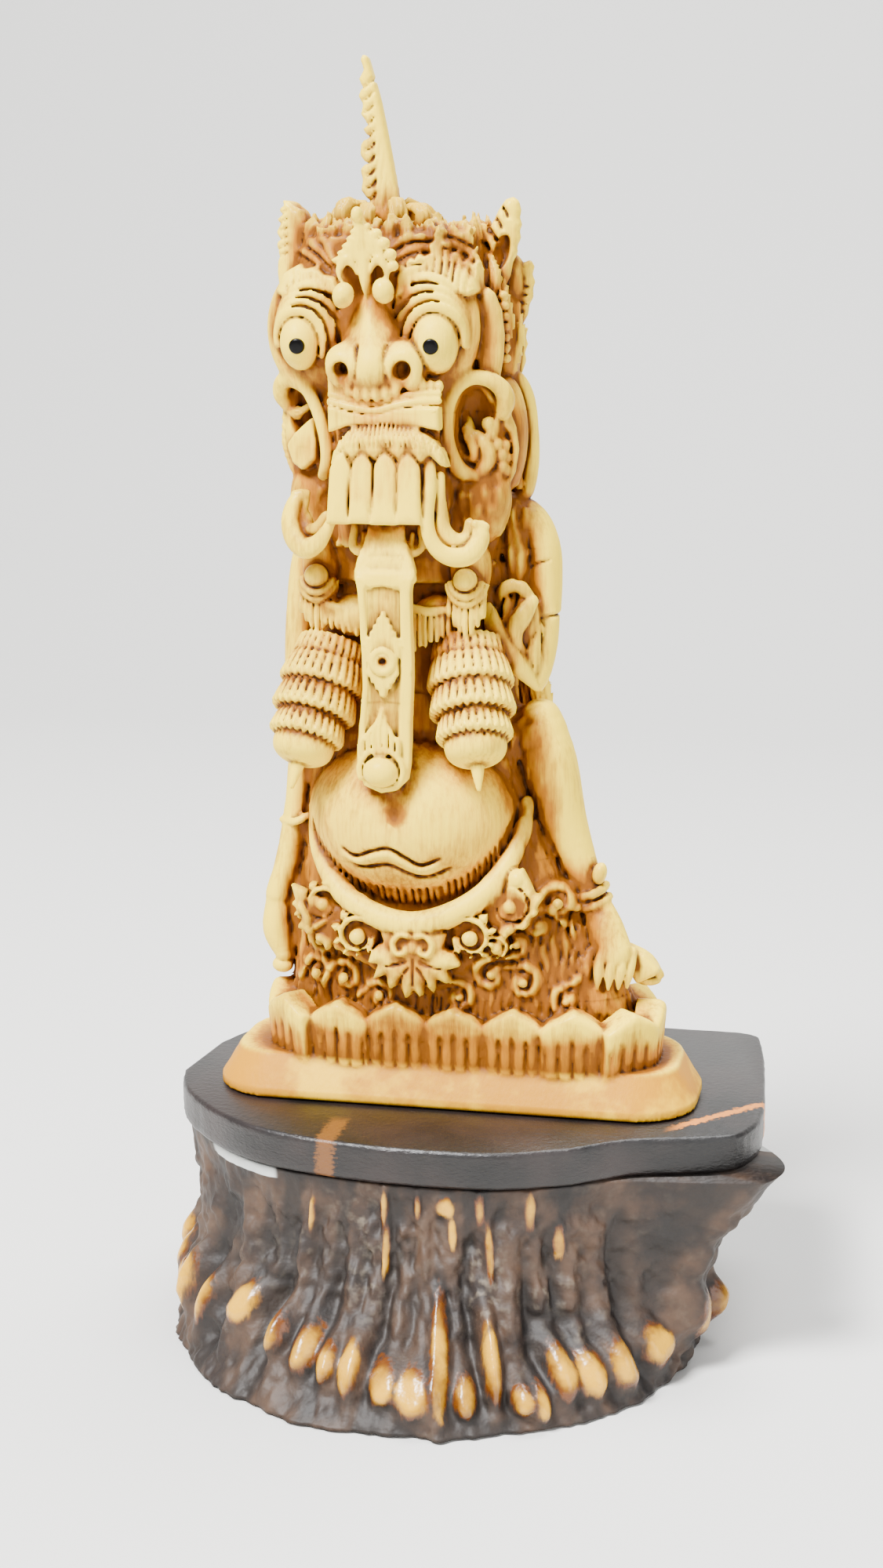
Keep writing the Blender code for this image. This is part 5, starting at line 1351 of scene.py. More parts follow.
def carve_lotus(c, rows, petals):
    """The drum and the row of petals round the foot of the carving, and the plinth under them."""
    drum = petal_path(48.4, 17.6, 5.8, 11.2, 0)
    spans, x, y, z = c.block((-25, -10, 2), (25, 10, 10))
    edge = outline_distance([(p[0], p[1]) for p in drum], x[:, :, 0], y[:, :, 0])[:, :, None]
    c.add(spans, np.maximum(edge, np.maximum(2 - z, z - 10)), 0.3)
    row_along(
        c, rows, petal_path(49.4, 18.6, 7.4, 11.5, 0), petal_shape(7.95, 12.6, 4.3, 9), petals, 0.02, 2,
        closed=True, blend=0.05,
    )
    plinth_x, plinth_y, length, depth, height = -0.8, 0.4, 62.6, 25.0, 5.3
    spans, x, y, z = c.block((-33, -13, 0), (31.5, 13.5, height), 1.0)
    shapes = []
    for inset in (0.0, 2.6):
        outline = petal_path(length - 2 * inset, depth - 2 * inset, 8.5 - inset, 11.5 - inset, 0)
        places = [(p[0] + plinth_x, p[1] + plinth_y) for p in outline]
        shapes.append(outline_distance(places, x[:, :, 0], y[:, :, 0])[:, :, None])
    inset = np.clip((z - 1.0) / (height - 1.0), 0, 1)
    wall = shapes[0] * (1 - inset) + shapes[1] * inset
    distance = -smooth_less(-wall, -(z - height), 0.2)
    c.add(spans, np.maximum(distance, 0.0 - z), 0.05)


STAINS = (
    ((5.5, 1, 70), (3.5, 6, 9), 0.8), ((2, -4, 66), (6, 5, 6), 0.55), ((1.5, -4, 76), (4, 4, 5), 0.9),
    ((-17, -3, 66), (5, 5, 7), 0.6), ((8, -3, 44), (3, 5, 6), 0.85), ((9.5, -2, 36), (2.5, 6, 10), 0.85),
    ((12, -4, 22), (6, 6, 8), 0.75), ((-19, -5, 20), (4, 5, 8), 0.7), ((-4, -8, 14), (16, 5, 4), 0.65),
    ((5, -5, 84), (3, 6, 8), 0.45), ((-9.5, -7, 70), (7, 2.4, 4), 0.7), ((4.4, -3, 98), (1.6, 5, 7), 0.5),
    ((-9.5, -11, 90.6), (9, 3, 1.8), 0.35), ((-19, -3, 79), (4, 5, 5), 0.5), ((-8, -7, 59), (12, 3, 3), 0.4),
    ((-7, -12, 40), (9, 5, 6), -0.35), ((-9, -13, 77.5), (7, 3, 4.4), -0.35),
    ((-9.5, -13, 94), (4, 4, 5), -0.2),
    ((-2.3, -12, 95.4), (3.5, 4, 4.5), -0.4), ((-19, -12, 95.4), (3.5, 4, 4.5), -0.4),
    ((-0.5, -9.4, 5.4), (26, 2.6, 1.3), 0.75), ((0, -9.6, 6.6), (25, 3.5, 2.6), 0.55),
    ((19, -5, 6.6), (6, 5, 2.4), 0.5), ((-20, -5, 6.6), (6, 5, 2.4), 0.5),
    ((-11, -12, 107), (3.4, 2.5, 5), -0.7), ((-22.8, -3, 106), (1.6, 3, 6), -0.7),
    ((4.4, 0, 108.5), (2.4, 3, 4), -0.6),
    ((-2, -10.5, 104.5), (5, 2, 3), -0.55), ((-18.5, -9.5, 103), (4.5, 2.5, 2), -0.4),
    ((-12.4, 1, 120), (3, 4, 9), -0.3),
    ((9.5, 2, 66), (3, 4, 9), -0.4), ((12.5, -2, 38), (3.4, 4, 12), -0.35),
    ((-8, -13.4, 57), (3.2, 1.6, 11), -0.4),
)


def carve_figure(settings):
    """Everything that is cut from the one block, in the order of the work."""
    c = Carving(settings.grain / MM)
    rows = row_tree()
    carve_trunk(c)
    carve_mane(c)
    carve_arms(c)
    carve_legs(c)
    carve_belly(c)
    carve_apron(c)
    carve_breasts(c)
    carve_pendants(c)
    carve_ears(c, rows)
    carve_mouth(c, rows)
    carve_tongue(c)
    carve_crown(c)
    carve_forehead(c)
    carve_nose(c)
    carve_eyes(c)
    carve_lotus(c, rows, settings.petals)
    for centre, radii, strength in STAINS:
        c.dye(centre, radii, strength)
    return c


def keep_in_box(c):
    """Trims the carving to the box of its solid, a hair inside."""
    inside = 0.02
    for axis in range(3):
        places = along_axis(c.axes[axis], axis)
        low = FIGURE_BOX[0][axis] + (inside if axis < 2 else 0)
        high = FIGURE_BOX[1][axis] - inside
        np.maximum(c.field, low - places, out=c.field)
        np.maximum(c.field, places - high, out=c.field)


def weather(c):
    """Fibrous roughness in the hollows and in the places that the carver left coarse."""
    fibre = c.noise((0.75, 0.75, 2.6), 31) * 0.65 + c.noise((0.5, 0.5, 1.1), 32) * 0.5
    solid = np.clip(0.5 - c.field / (2 * c.grain), 0, 1)
    hollow = blur(solid, max(1, round(1.5 / c.grain)))
    rough = np.maximum(ease(hollow, 0.5, 0.66), ease(c.stain.astype(np.float32), 0.35, 0.8))
    z = c.axes[2][None, None, :]
    skirt = ease(z, 11, 14) * (1 - ease(z, 24, 34)) * 0.75
    hair = ease(z, 104, 107) * (1 - ease(z, 111, 112)) * 0.8
    rough = np.maximum(rough, np.maximum(skirt, hair).astype(np.float32) * ease(hollow, 0.4, 0.54))
    c.field += (0.33 * rough * fibre * ease(z, 6.5, 8)).astype(np.float32)


def mesh_pieces(c, cuts, finish):
    """The carving's surface as closed pieces between level cuts, which dip under each other at a cut."""
    solid = np.clip(0.5 - c.field / c.grain, 0, 1)
    layers = []
    for label, reach in (("near", 0.3), ("mid", 0.75), ("wide", 1.8)):
        radius = max(1, round(reach / c.grain))
        layers.append((label, blur(blur(solid, radius), radius)))
    layers.append(("stain", c.stain))
    pieces = []
    z = c.axes[2][None, None, :]
    for name, low, high in cuts:
        field = c.field
        margin = 0.9
        start = max(0, int((low - margin - 1 - c.low[2]) / c.grain))
        stop = min(c.counts[2], int((high + margin + 1 - c.low[2]) / c.grain) + 2)
        part = field[:, :, start:stop].copy()
        levels = z[:, :, start:stop]
        if low > 0:
            part += np.clip(low - levels, 0, None) * 0.5
            np.maximum(part, low - margin - levels, out=part)
        if high < 131:
            part += np.clip(levels - high, 0, None) * 0.5
            np.maximum(part, levels - high - margin, out=part)
        grid = openvdb.FloatGrid()
        grid.copyFromArray(np.ascontiguousarray(part), tolerance=0)
        corners, triangles, quads = grid.convertToPolygons(isovalue=0, adaptivity=0.03)
        cells = np.asarray(corners, float) + np.array([0, 0, start])
        places = (c.low + cells * c.grain) * MM + np.array(FIGURE_PLACE)
        pieces.append(dense_mesh(name, places, np.asarray(triangles, int).reshape(-1, 3),
                                 np.asarray(quads, int), finish))
        mesh = pieces[-1].data
        slopes = []
        for axis in range(3):
            step = np.zeros(3)
            step[axis] = 0.6
            slopes.append(sample(c.field, cells + step) - sample(c.field, cells - step))
        normals = np.column_stack(slopes)
        normals /= np.linalg.norm(normals, axis=1)[:, None] + 1e-9
        for label, values in layers:
            layer = mesh.attributes.new(label, "FLOAT", "POINT")
            layer.data.foreach_set("value", sample(values, cells).astype(np.float32))
        mesh.normals_split_custom_set_from_vertices(normals.tolist())
    return pieces


def dense_mesh(name, places, triangles, quads, finish):
    """A mesh object from arrays of corners, triangles and quads, smooth and facing outwards."""
    volume = 0.0
    for sides in (triangles, quads[:, :3], quads[:, [0, 2, 3]]):
        a, b, c = (places[sides[:, i]] for i in range(3))
        volume += np.einsum("ij,ij->", a, np.cross(b, c))
    if volume < 0:
        triangles, quads = triangles[:, ::-1], quads[:, ::-1]
    mesh = bpy.data.meshes.new(name)
    mesh.vertices.add(len(places))
    mesh.vertices.foreach_set("co", places.astype(np.float32).ravel())
    sides = np.concatenate([np.full(len(triangles), 3), np.full(len(quads), 4)])
    loops = np.concatenate([triangles.ravel(), quads.ravel()]).astype(np.int32)
    mesh.loops.add(len(loops))
    mesh.loops.foreach_set("vertex_index", loops)
    mesh.polygons.add(len(sides))
    mesh.polygons.foreach_set("loop_start", np.concatenate([[0], np.cumsum(sides)[:-1]]).astype(np.int32))
    mesh.update(calc_edges=True)
    mesh.validate()
    mesh.shade_smooth()
    mesh.materials.append(finish)
    item = bpy.data.objects.new(name, mesh)
    bpy.context.scene.collection.objects.link(item)
    return item


def tint(red, green, blue):
    """A colour as seen on a screen, 0 to 255, in the numbers that shaders use."""
    shares = (v / 255 for v in (red, green, blue))
    return (*(s / 12.92 if s <= 0.04045 else ((s + 0.055) / 1.055) ** 2.4 for s in shares), 1)


def new_group(name, inputs, outputs):
    """An empty shader node group with named sockets, its input node's outputs and the group itself."""
    tree = bpy.data.node_groups.new(name, "ShaderNodeTree")
    for label, kind, value in inputs:
        socket = tree.interface.new_socket(label, in_out="INPUT", socket_type=kind)
        if value is not None:
            socket.default_value = value
    for label, kind in outputs:
        tree.interface.new_socket(label, in_out="OUTPUT", socket_type=kind)
    return tree, add_node(tree, "NodeGroupInput").outputs


NUMBER, COLOUR = "NodeSocketFloat", "NodeSocketColor"


def share_of(tree, value, low, high, least=0.0, most=1.0):
    """A value mapped smoothly from low..high to least..most."""
    node = add_node(tree, "ShaderNodeMapRange", {0: value, 1: low, 2: high, 3: least, 4: most})
    node.interpolation_type = "SMOOTHSTEP"
    return node.outputs[0]


def blend_colours(tree, share, first, second):
    node = add_node(tree, "ShaderNodeMix", data_type="RGBA")
    for socket, value in ((node.inputs[0], share), (node.inputs[6], first), (node.inputs[7], second)):
        if isinstance(value, bpy.types.NodeSocket):
            tree.links.new(value, socket)
        else:
            socket.default_value = value
    return node.outputs[2]


def sum_of(tree, first, second, kind="ADD", clamp=False):
    return add_node(tree, "ShaderNodeMath", {0: first, 1: second}, operation=kind, use_clamp=clamp).outputs[0]


def fibre_group():
    """Fine upright fibres and broad clouds, for antler and wood alike."""
    tree, given = new_group(
        "upright_fibres",
        (("Fibre Size", NUMBER, 0.3), ("Length", NUMBER, 12.0), ("Cloud Size", NUMBER, 9.0)),
        (("Fibres", NUMBER), ("Clouds", NUMBER), ("Grain", NUMBER)),
    )
    place = add_node(tree, "ShaderNodeTexCoord").outputs["Object"]
    fine = sum_of(tree, 1000.0, given["Fibre Size"], "DIVIDE")
    stretched = sum_of(tree, fine, given["Length"], "DIVIDE")
    scales = add_node(tree, "ShaderNodeCombineXYZ", {0: fine, 1: fine, 2: stretched}).outputs[0]
    at = add_node(tree, "ShaderNodeVectorMath", {0: place, 1: scales}, operation="MULTIPLY").outputs[0]
    fibres = add_node(tree, "ShaderNodeTexNoise", {"Vector": at, "Scale": 1.0, "Detail": 3.0,
                                                   "Roughness": 0.6})
    cloud_scale = sum_of(tree, 1000.0, given["Cloud Size"], "DIVIDE")
    clouds = add_node(
        tree, "ShaderNodeTexNoise", {"Vector": place, "Scale": cloud_scale, "Detail": 4.0, "Roughness": 0.55}
    )
    grain_scale = sum_of(tree, 600.0, given["Fibre Size"], "DIVIDE")
    grain = add_node(tree, "ShaderNodeTexNoise", {"Vector": place, "Scale": grain_scale, "Detail": 2.0})
    add_node(tree, "NodeGroupOutput", {0: fibres.outputs[0], 1: clouds.outputs[0], 2: grain.outputs[0]})
    return tree


def fibre_node(tree, size, length, cloud):
    """The shared fibres in a material: fibre and cloud size in millimetres, and length as a ratio."""
    group = bpy.data.node_groups.get("upright_fibres") or fibre_group()
    sizes = {"Fibre Size": size, "Length": length, "Cloud Size": cloud}
    return add_node(tree, "ShaderNodeGroup", sizes, node_tree=group)


def patina_group():
    """Stain that gathers in hollows and wears off what stands proud."""
    tree, given = new_group(
        "patina",
        (
            ("Groove", NUMBER, 0.5), ("Hollow", NUMBER, 0.5), ("Shelter", NUMBER, 0.5),
            ("Stain", NUMBER, 0.0),
            ("Clouds", NUMBER, 0.5), ("Fibres", NUMBER, 0.5), ("High", COLOUR, (1, 1, 1, 1)),
            ("Middle", COLOUR, (1, 1, 1, 1)), ("Low", COLOUR, (1, 1, 1, 1)), ("Deep", COLOUR, (0, 0, 0, 1)),
        ),
        (("Colour", COLOUR), ("Worn", NUMBER)),
    )
    clouds = share_of(tree, given["Clouds"], 0.3, 0.7, -0.16, 0.16)
    fibres = share_of(tree, given["Fibres"], 0.35, 0.72, -0.1, 0.12)
    uneven = sum_of(tree, clouds, fibres)
    shelter = sum_of(tree, share_of(tree, given["Shelter"], 0.3, 0.58), given["Stain"])
    warm = sum_of(tree, shelter, sum_of(tree, uneven, 1.2, "MULTIPLY"), clamp=True)
    colour = blend_colours(tree, warm, given["High"], given["Middle"])
    hollow = sum_of(tree, share_of(tree, given["Hollow"], 0.44, 0.58), sum_of(tree, uneven, 1.0, "MULTIPLY"))
    sheltered = share_of(tree, given["Shelter"], 0.5, 0.72, 0.0, 0.5)
    hollow = sum_of(tree, hollow, sum_of(tree, sum_of(tree, given["Stain"], 0.8, "MULTIPLY"), sheltered),
                    clamp=True)
    colour = blend_colours(tree, hollow, colour, given["Low"])
    groove = share_of(tree, given["Groove"], 0.53, 0.7)
    groove = sum_of(tree, groove, sum_of(tree, uneven, 0.5, "MULTIPLY"), clamp=True)
    colour = blend_colours(tree, sum_of(tree, groove, 0.94, "MULTIPLY"), colour, given["Deep"])
    worn = share_of(tree, given["Hollow"], 0.46, 0.3)
    colour = blend_colours(tree, sum_of(tree, worn, 0.4, "MULTIPLY"), colour, given["High"])
    add_node(tree, "NodeGroupOutput", {0: colour, 1: worn})
    return tree


def new_material(name, **values):
    """A material with plain values on its Principled shader, its tree and that shader."""
    finish = bpy.data.materials.new(name)
    finish.use_nodes = True
    tree = finish.node_tree
    shader = tree.nodes["Principled BSDF"]
    for label, value in values.items():
        shader.inputs[label.replace("_", " ")].default_value = value
    return finish, tree, shader


def add_bump(tree, shader, height, depth, strength=1.0):
    bump = add_node(tree, "ShaderNodeBump", {"Strength": strength, "Distance": depth, "Height": height})
    tree.links.new(bump.outputs[0], shader.inputs["Normal"])


def read_attribute(tree, name):
    return add_node(tree, "ShaderNodeAttribute", attribute_name=name).outputs["Fac"]


def antler_material(settings):
    """Cream antler, honey brown where it is sheltered and dark in the cuts."""
    finish, tree, shader = new_material(
        "carved_antler", Roughness=0.38, Subsurface_Weight=0.02, Subsurface_Scale=0.0012,
        Specular_IOR_Level=0.14
    )
    shader.inputs["Subsurface Radius"].default_value = (1.0, 0.5, 0.2)
    fibres = fibre_node(tree, 0.55, 9.0, 9.0)
    patina = add_node(tree, "ShaderNodeGroup", node_tree=patina_group())
    for label, name in (("Groove", "near"), ("Hollow", "mid"), ("Shelter", "wide"), ("Stain", "stain")):
        tree.links.new(read_attribute(tree, name), patina.inputs[label])
    tree.links.new(fibres.outputs["Clouds"], patina.inputs["Clouds"])
    tree.links.new(fibres.outputs["Fibres"], patina.inputs["Fibres"])
    for label, value in (
        ("High", settings.high), ("Middle", settings.middle), ("Low", settings.low), ("Deep", settings.deep)
    ):
        patina.inputs[label].default_value = (*value, 1)
    place = add_node(tree, "ShaderNodeTexCoord").outputs["Object"]
    height = add_node(tree, "ShaderNodeSeparateXYZ", {0: place}).outputs["Z"]
    foot = share_of(tree, height, FIGURE_PLACE.z + 0.0055, FIGURE_PLACE.z + 0.0046)
    patches = share_of(tree, fibres.outputs["Clouds"], 0.46, 0.64)
    plinth = blend_colours(tree, patches, (*settings.plinth, 1), (0.88, 0.50, 0.003, 1))
    plinth_share = sum_of(tree, foot, share_of(tree, read_attribute(tree, "mid"), 0.62, 0.5), "MULTIPLY")
    colour = blend_colours(tree, plinth_share, patina.outputs["Colour"], plinth)
    tree.links.new(colour, shader.inputs["Base Color"])
    gloss = share_of(tree, patina.outputs["Worn"], 0.0, 1.0, 0.52, 0.3)
    tree.links.new(gloss, shader.inputs["Roughness"])
    relief = sum_of(tree, fibres.outputs["Fibres"], sum_of(tree, fibres.outputs["Grain"], 0.5, "MULTIPLY"))
    add_bump(tree, shader, relief, 0.00012, 0.6)
    return finish


def horn_material():
    finish, _, _ = new_material("black_horn", Base_Color=tint(6, 5, 5), Roughness=0.3,
                                Specular_IOR_Level=0.12)
    return finish


SLAB_SHARES = (
    (-0.5, -0.07), (-0.44, -0.25), (-0.3, -0.42), (-0.11, -0.485), (0.085, -0.484), (0.207, -0.423),
    (0.295, -0.34), (0.42, -0.285), (0.47, -0.24), (0.495, -0.115), (0.485, 0.148), (0.465, 0.397),
    (0.437, 0.485), (0.29, 0.495), (-0.05, 0.5), (-0.28, 0.46), (-0.42, 0.338), (-0.49, 0.13),
)


def slab_outline(grow=0.0):
    """The slab's uneven outline as x and y in metres, moved outwards by grow."""
    low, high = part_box("dark_slab")
    steps = 12
    closed = SLAB_SHARES[-1:] + SLAB_SHARES + SLAB_SHARES[:2]
    shares = smooth_path(closed, steps)[steps : -2 * steps - 1]
    middle = np.array(((low.x + high.x) / 2, (low.y + high.y) / 2))
    size = np.array((high.x - low.x, high.y - low.y))
    span = shares.max(0) - shares.min(0)
    points = middle + (shares - (shares.max(0) + shares.min(0)) / 2) / span * size
    ahead, behind = np.roll(points, -1, 0), np.roll(points, 1, 0)
    along = ahead - behind
    along /= np.linalg.norm(along, axis=1)[:, None] + 1e-12
    return points + np.column_stack([along[:, 1], -along[:, 0]]) * grow


def loft_object(name, rings, finish):
    """A closed solid through rings of equal length, the first and last filled in."""
    corners = np.vstack(rings)
    count = len(rings[0])
    faces = [tuple(reversed(range(count)))]
    for level in range(len(rings) - 1):
        for index in range(count):
            a, b = level * count + index, level * count + (index + 1) % count
            faces.append((a, b, b + count, a + count))
    faces.append(tuple(range(count * (len(rings) - 1), count * len(rings))))
    item = new_mesh_object(name, corners, faces, place=False)
    turn_outwards(item)
    item.data.shade_smooth()
    item.data.materials.append(finish)
    return item


def wood_material():
    """Near-black wood with a tan stripe down its front edge, an orange streak and saw marks."""
    finish, tree, shader = new_material("dark_wood", Roughness=0.42, Specular_IOR_Level=0.5)
    fibres = fibre_node(tree, 0.8, 0.4, 14.0)
    black = blend_colours(
        tree, share_of(tree, fibres.outputs["Clouds"], 0.35, 0.7), tint(10, 8, 8), tint(36, 26, 24)
    )
    place = add_node(tree, "ShaderNodeTexCoord").outputs["Object"]
    axes = add_node(tree, "ShaderNodeSeparateXYZ", {0: place}).outputs
    waver = share_of(tree, fibres.outputs["Fibres"], 0.2, 0.8, -0.0006, 0.0006)

    def near_line(slope, at, width):
        lean = add_node(tree, "ShaderNodeMath", {0: axes["Y"], 1: slope, 2: axes["X"]},
                        operation="MULTIPLY_ADD")
        off = sum_of(tree, sum_of(tree, lean.outputs[0], waver), at, "SUBTRACT")
        return share_of(tree, sum_of(tree, off, 0.0, "ABSOLUTE"), width, width * 0.45)

    front = share_of(tree, axes["Y"], -0.012, -0.015)
    stripe = sum_of(tree, near_line(0.0, -0.0098, 0.0016), front, "MULTIPLY")
    colour = blend_colours(tree, sum_of(tree, stripe, 0.8, "MULTIPLY"), black, (0.17, 0.06, 0.008, 1))
    right = share_of(tree, axes["X"], 0.030, 0.033)
    streak = sum_of(tree, near_line(-0.9, 0.0385, 0.0012), right, "MULTIPLY")
    colour = blend_colours(tree, streak, colour, (0.55, 0.17, 0.004, 1))
    tree.links.new(colour, shader.inputs["Base Color"])
    add_bump(tree, shader, fibres.outputs["Fibres"], 0.0002, 0.5)
    return finish


def build_slab(settings):
    low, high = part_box("dark_slab")
    rng = np.random.default_rng(4)
    rings = []
    edge = settings.slab_edge
    levels = [(0, -edge), (edge * 0.35, -edge * 0.3), (edge, 0)]
    levels += [(t * (high.z - low.z), 0) for t in (0.25, 0.4, 0.55, 0.7, 0.82)]
    levels += [(high.z - low.z - edge, 0), (high.z - low.z - edge * 0.3, -edge * 0.35),
               (high.z - low.z, -edge)]
    count = len(slab_outline())
    rough = np.convolve(np.tile(rng.uniform(-1, 1, count), 3), np.ones(5) / 5, "same")[count : 2 * count]
    for rise, grow in levels:
        wear = 0.00016 * (rough + 0.4 * rng.uniform(-1, 1, count)) - 0.00022
        outline = slab_outline(grow)
        inward = slab_outline(grow - 0.001) - outline
        points = outline - inward * (wear / 0.001)[:, None]
        rings.append(np.column_stack([points, np.full(count, low.z + rise)]))
    return loft_object("slab", rings, wood_material())


def build_pupils(finish):
    """Glossy domes in their sockets, one to each eye."""
    pieces = []
    for name, node in (("pupil_left", "left_pupil"), ("pupil_right", "right_pupil")):
        low, high = (np.array(corner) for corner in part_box(node))
        across = (high[0] - low[0]) / 2
        direction = unit((0.02, -1.0, -0.16))
        side = unit(np.cross(direction, (0, 0, 1)))
        up = np.cross(side, direction)
        middle = (low + high) / 2
        reach = (high[1] - low[1]) / 2 - across * 0.16
        rings = []
        sides = 48
        for rise, size in (
            (-1, 0.9), (-0.96, 1), (0.45, 1), (0.62, 0.985), (0.76, 0.93), (0.87, 0.82), (0.94, 0.64),
            (0.98, 0.42),
            (1.0, 0.16),
        ):
            angles = np.arange(sides) * 2 * math.pi / sides
            ring = middle + direction * reach * rise
            spokes = np.cos(angles)[:, None] * side + np.sin(angles)[:, None] * up
            rings.append(ring + spokes * across * 0.99 * size)
        pieces.append((loft_object(name, rings, finish), node))
    return pieces


def reach_at(outline, angles):
    """How far a closed outline round the origin reaches in each direction."""
    around = np.arctan2(outline[:, 1], outline[:, 0])
    order = np.argsort(around)
    around, reach = around[order], np.linalg.norm(outline, axis=1)[order]
    around = np.concatenate([around - 2 * math.pi, around, around + 2 * math.pi])
    return np.interp(angles, around, np.tile(reach, 3))


def burr_material():
    """Dark bark with worn tan ridges and polished pearls, and pale bone where it was sawn."""
    finish, tree, shader = new_material("antler_bark", Roughness=0.6, Specular_IOR_Level=0.5)
    fibres = fibre_node(tree, 0.9, 3.0, 7.0)
    cloud = share_of(tree, fibres.outputs["Clouds"], 0.35, 0.68)
    bark = blend_colours(tree, cloud, tint(28, 17, 11), tint(70, 49, 33))
    dust = sum_of(tree, share_of(tree, fibres.outputs["Grain"], 0.48, 0.78), read_attribute(tree, "dust"),
                  "MULTIPLY")
    bark = blend_colours(tree, sum_of(tree, dust, 0.75, "MULTIPLY"), bark, tint(120, 108, 92))
    low = share_of(tree, read_attribute(tree, "height"), 0.3, -0.45)
    bark = blend_colours(tree, sum_of(tree, low, 0.8, "MULTIPLY"), bark, tint(15, 9, 6))
    polish = read_attribute(tree, "polish")
    waver = share_of(tree, fibres.outputs["Fibres"], 0.3, 0.7, -0.14, 0.14)
    polish = share_of(tree, sum_of(tree, polish, waver), 0.38, 0.72)
    middle = sum_of(tree, read_attribute(tree, "polish"),
                    share_of(tree, fibres.outputs["Clouds"], 0.3, 0.7, -0.4, 0.1))
    tan = blend_colours(tree, share_of(tree, middle, 0.35, 0.95), (0.11, 0.03, 0.002, 1),
                        (0.66, 0.34, 0.012, 1))
    colour = blend_colours(tree, polish, bark, tan)
    sawn = share_of(tree, read_attribute(tree, "sawn"), 0.4, 0.6)
    colour = blend_colours(tree, sawn, colour, tint(190, 192, 188))
    tree.links.new(colour, shader.inputs["Base Color"])
    gloss = share_of(tree, polish, 0.0, 1.0, 0.62, 0.27)
    tree.links.new(gloss, shader.inputs["Roughness"])
    add_bump(tree, shader, fibres.outputs["Grain"], 0.0004, 0.5)
    return finish


def smooth_noise(shape, cells, rng):
    """Smooth random values on a grid round the burr, that join up where it closes."""
    values = rng.uniform(-1, 1, cells)
    u = np.arange(shape[0]) * cells[0] / shape[0]
    v = np.arange(shape[1]) * (cells[1] - 1) / (shape[1] - 1)
    iu, iv = u.astype(int), np.minimum(v.astype(int), cells[1] - 2)
    tu, tv = u - iu, v - iv
    tu, tv = (tu * tu * (3 - 2 * tu))[:, None], (tv * tv * (3 - 2 * tv))[None, :]
    ju = (iu + 1) % cells[0]
    a, b = values[iu][:, iv], values[ju][:, iv]
    e, f = values[iu][:, iv + 1], values[ju][:, iv + 1]
    return (a * (1 - tu) + b * tu) * (1 - tv) + (e * (1 - tu) + f * tu) * tv


# Angle in degrees, height, half width and half height of each polished pearl and worn streak in view
PEARLS = (
    (-133.5, 10, 2.6, 2.8), (-121, 8.6, 2.6, 2.6), (-111.5, 7.6, 2.6, 3.0), (-105, 6.8, 1.9, 2.6),
    (-99, 6.8, 2.0, 3.4),
    (-91, 5.6, 2.4, 2.8), (-84, 5.0, 3.0, 3.0), (-78, 8.4, 1.7, 7.5), (-72.5, 4.6, 1.9, 2.6),
    (-66, 7.8, 1.6, 5.0),
    (-60.5, 4.0, 1.6, 2.0), (-56.5, 3.6, 1.5, 2.4), (-50, 6.0, 2.2, 3.4), (-43.5, 5.2, 2.6, 3.0),
    (-35, 5.4, 2.8, 3.4),
    (-24, 5.6, 2.8, 3.0), (-11, 7.4, 2.8, 3.8), (3, 5.4, 2.6, 3.0),
)
STREAKS = (
    (-96, 24.0, 1.0, 3.0), (-95, 18.5, 0.9, 4.0), (-85, 24.5, 0.9, 2.0), (-76, 24.6, 2.4, 1.5),
    (-74, 21.4, 1.1, 2.4),
    (-66, 24.6, 1.1, 2.4), (-63.5, 19.5, 1.0, 4.5), (-52, 24.0, 1.3, 3.0), (-44, 20.0, 1.0, 3.0),
    (-120, 22.0, 0.8, 3.0),
)


BURR_REACH, BURR_HEIGHT = 37.6, 26.9


def turn_from(angles, degrees):
    """How far angles in radians lie from a direction, the short way round."""
    return np.angle(np.exp(1j * (angles - math.radians(degrees))))


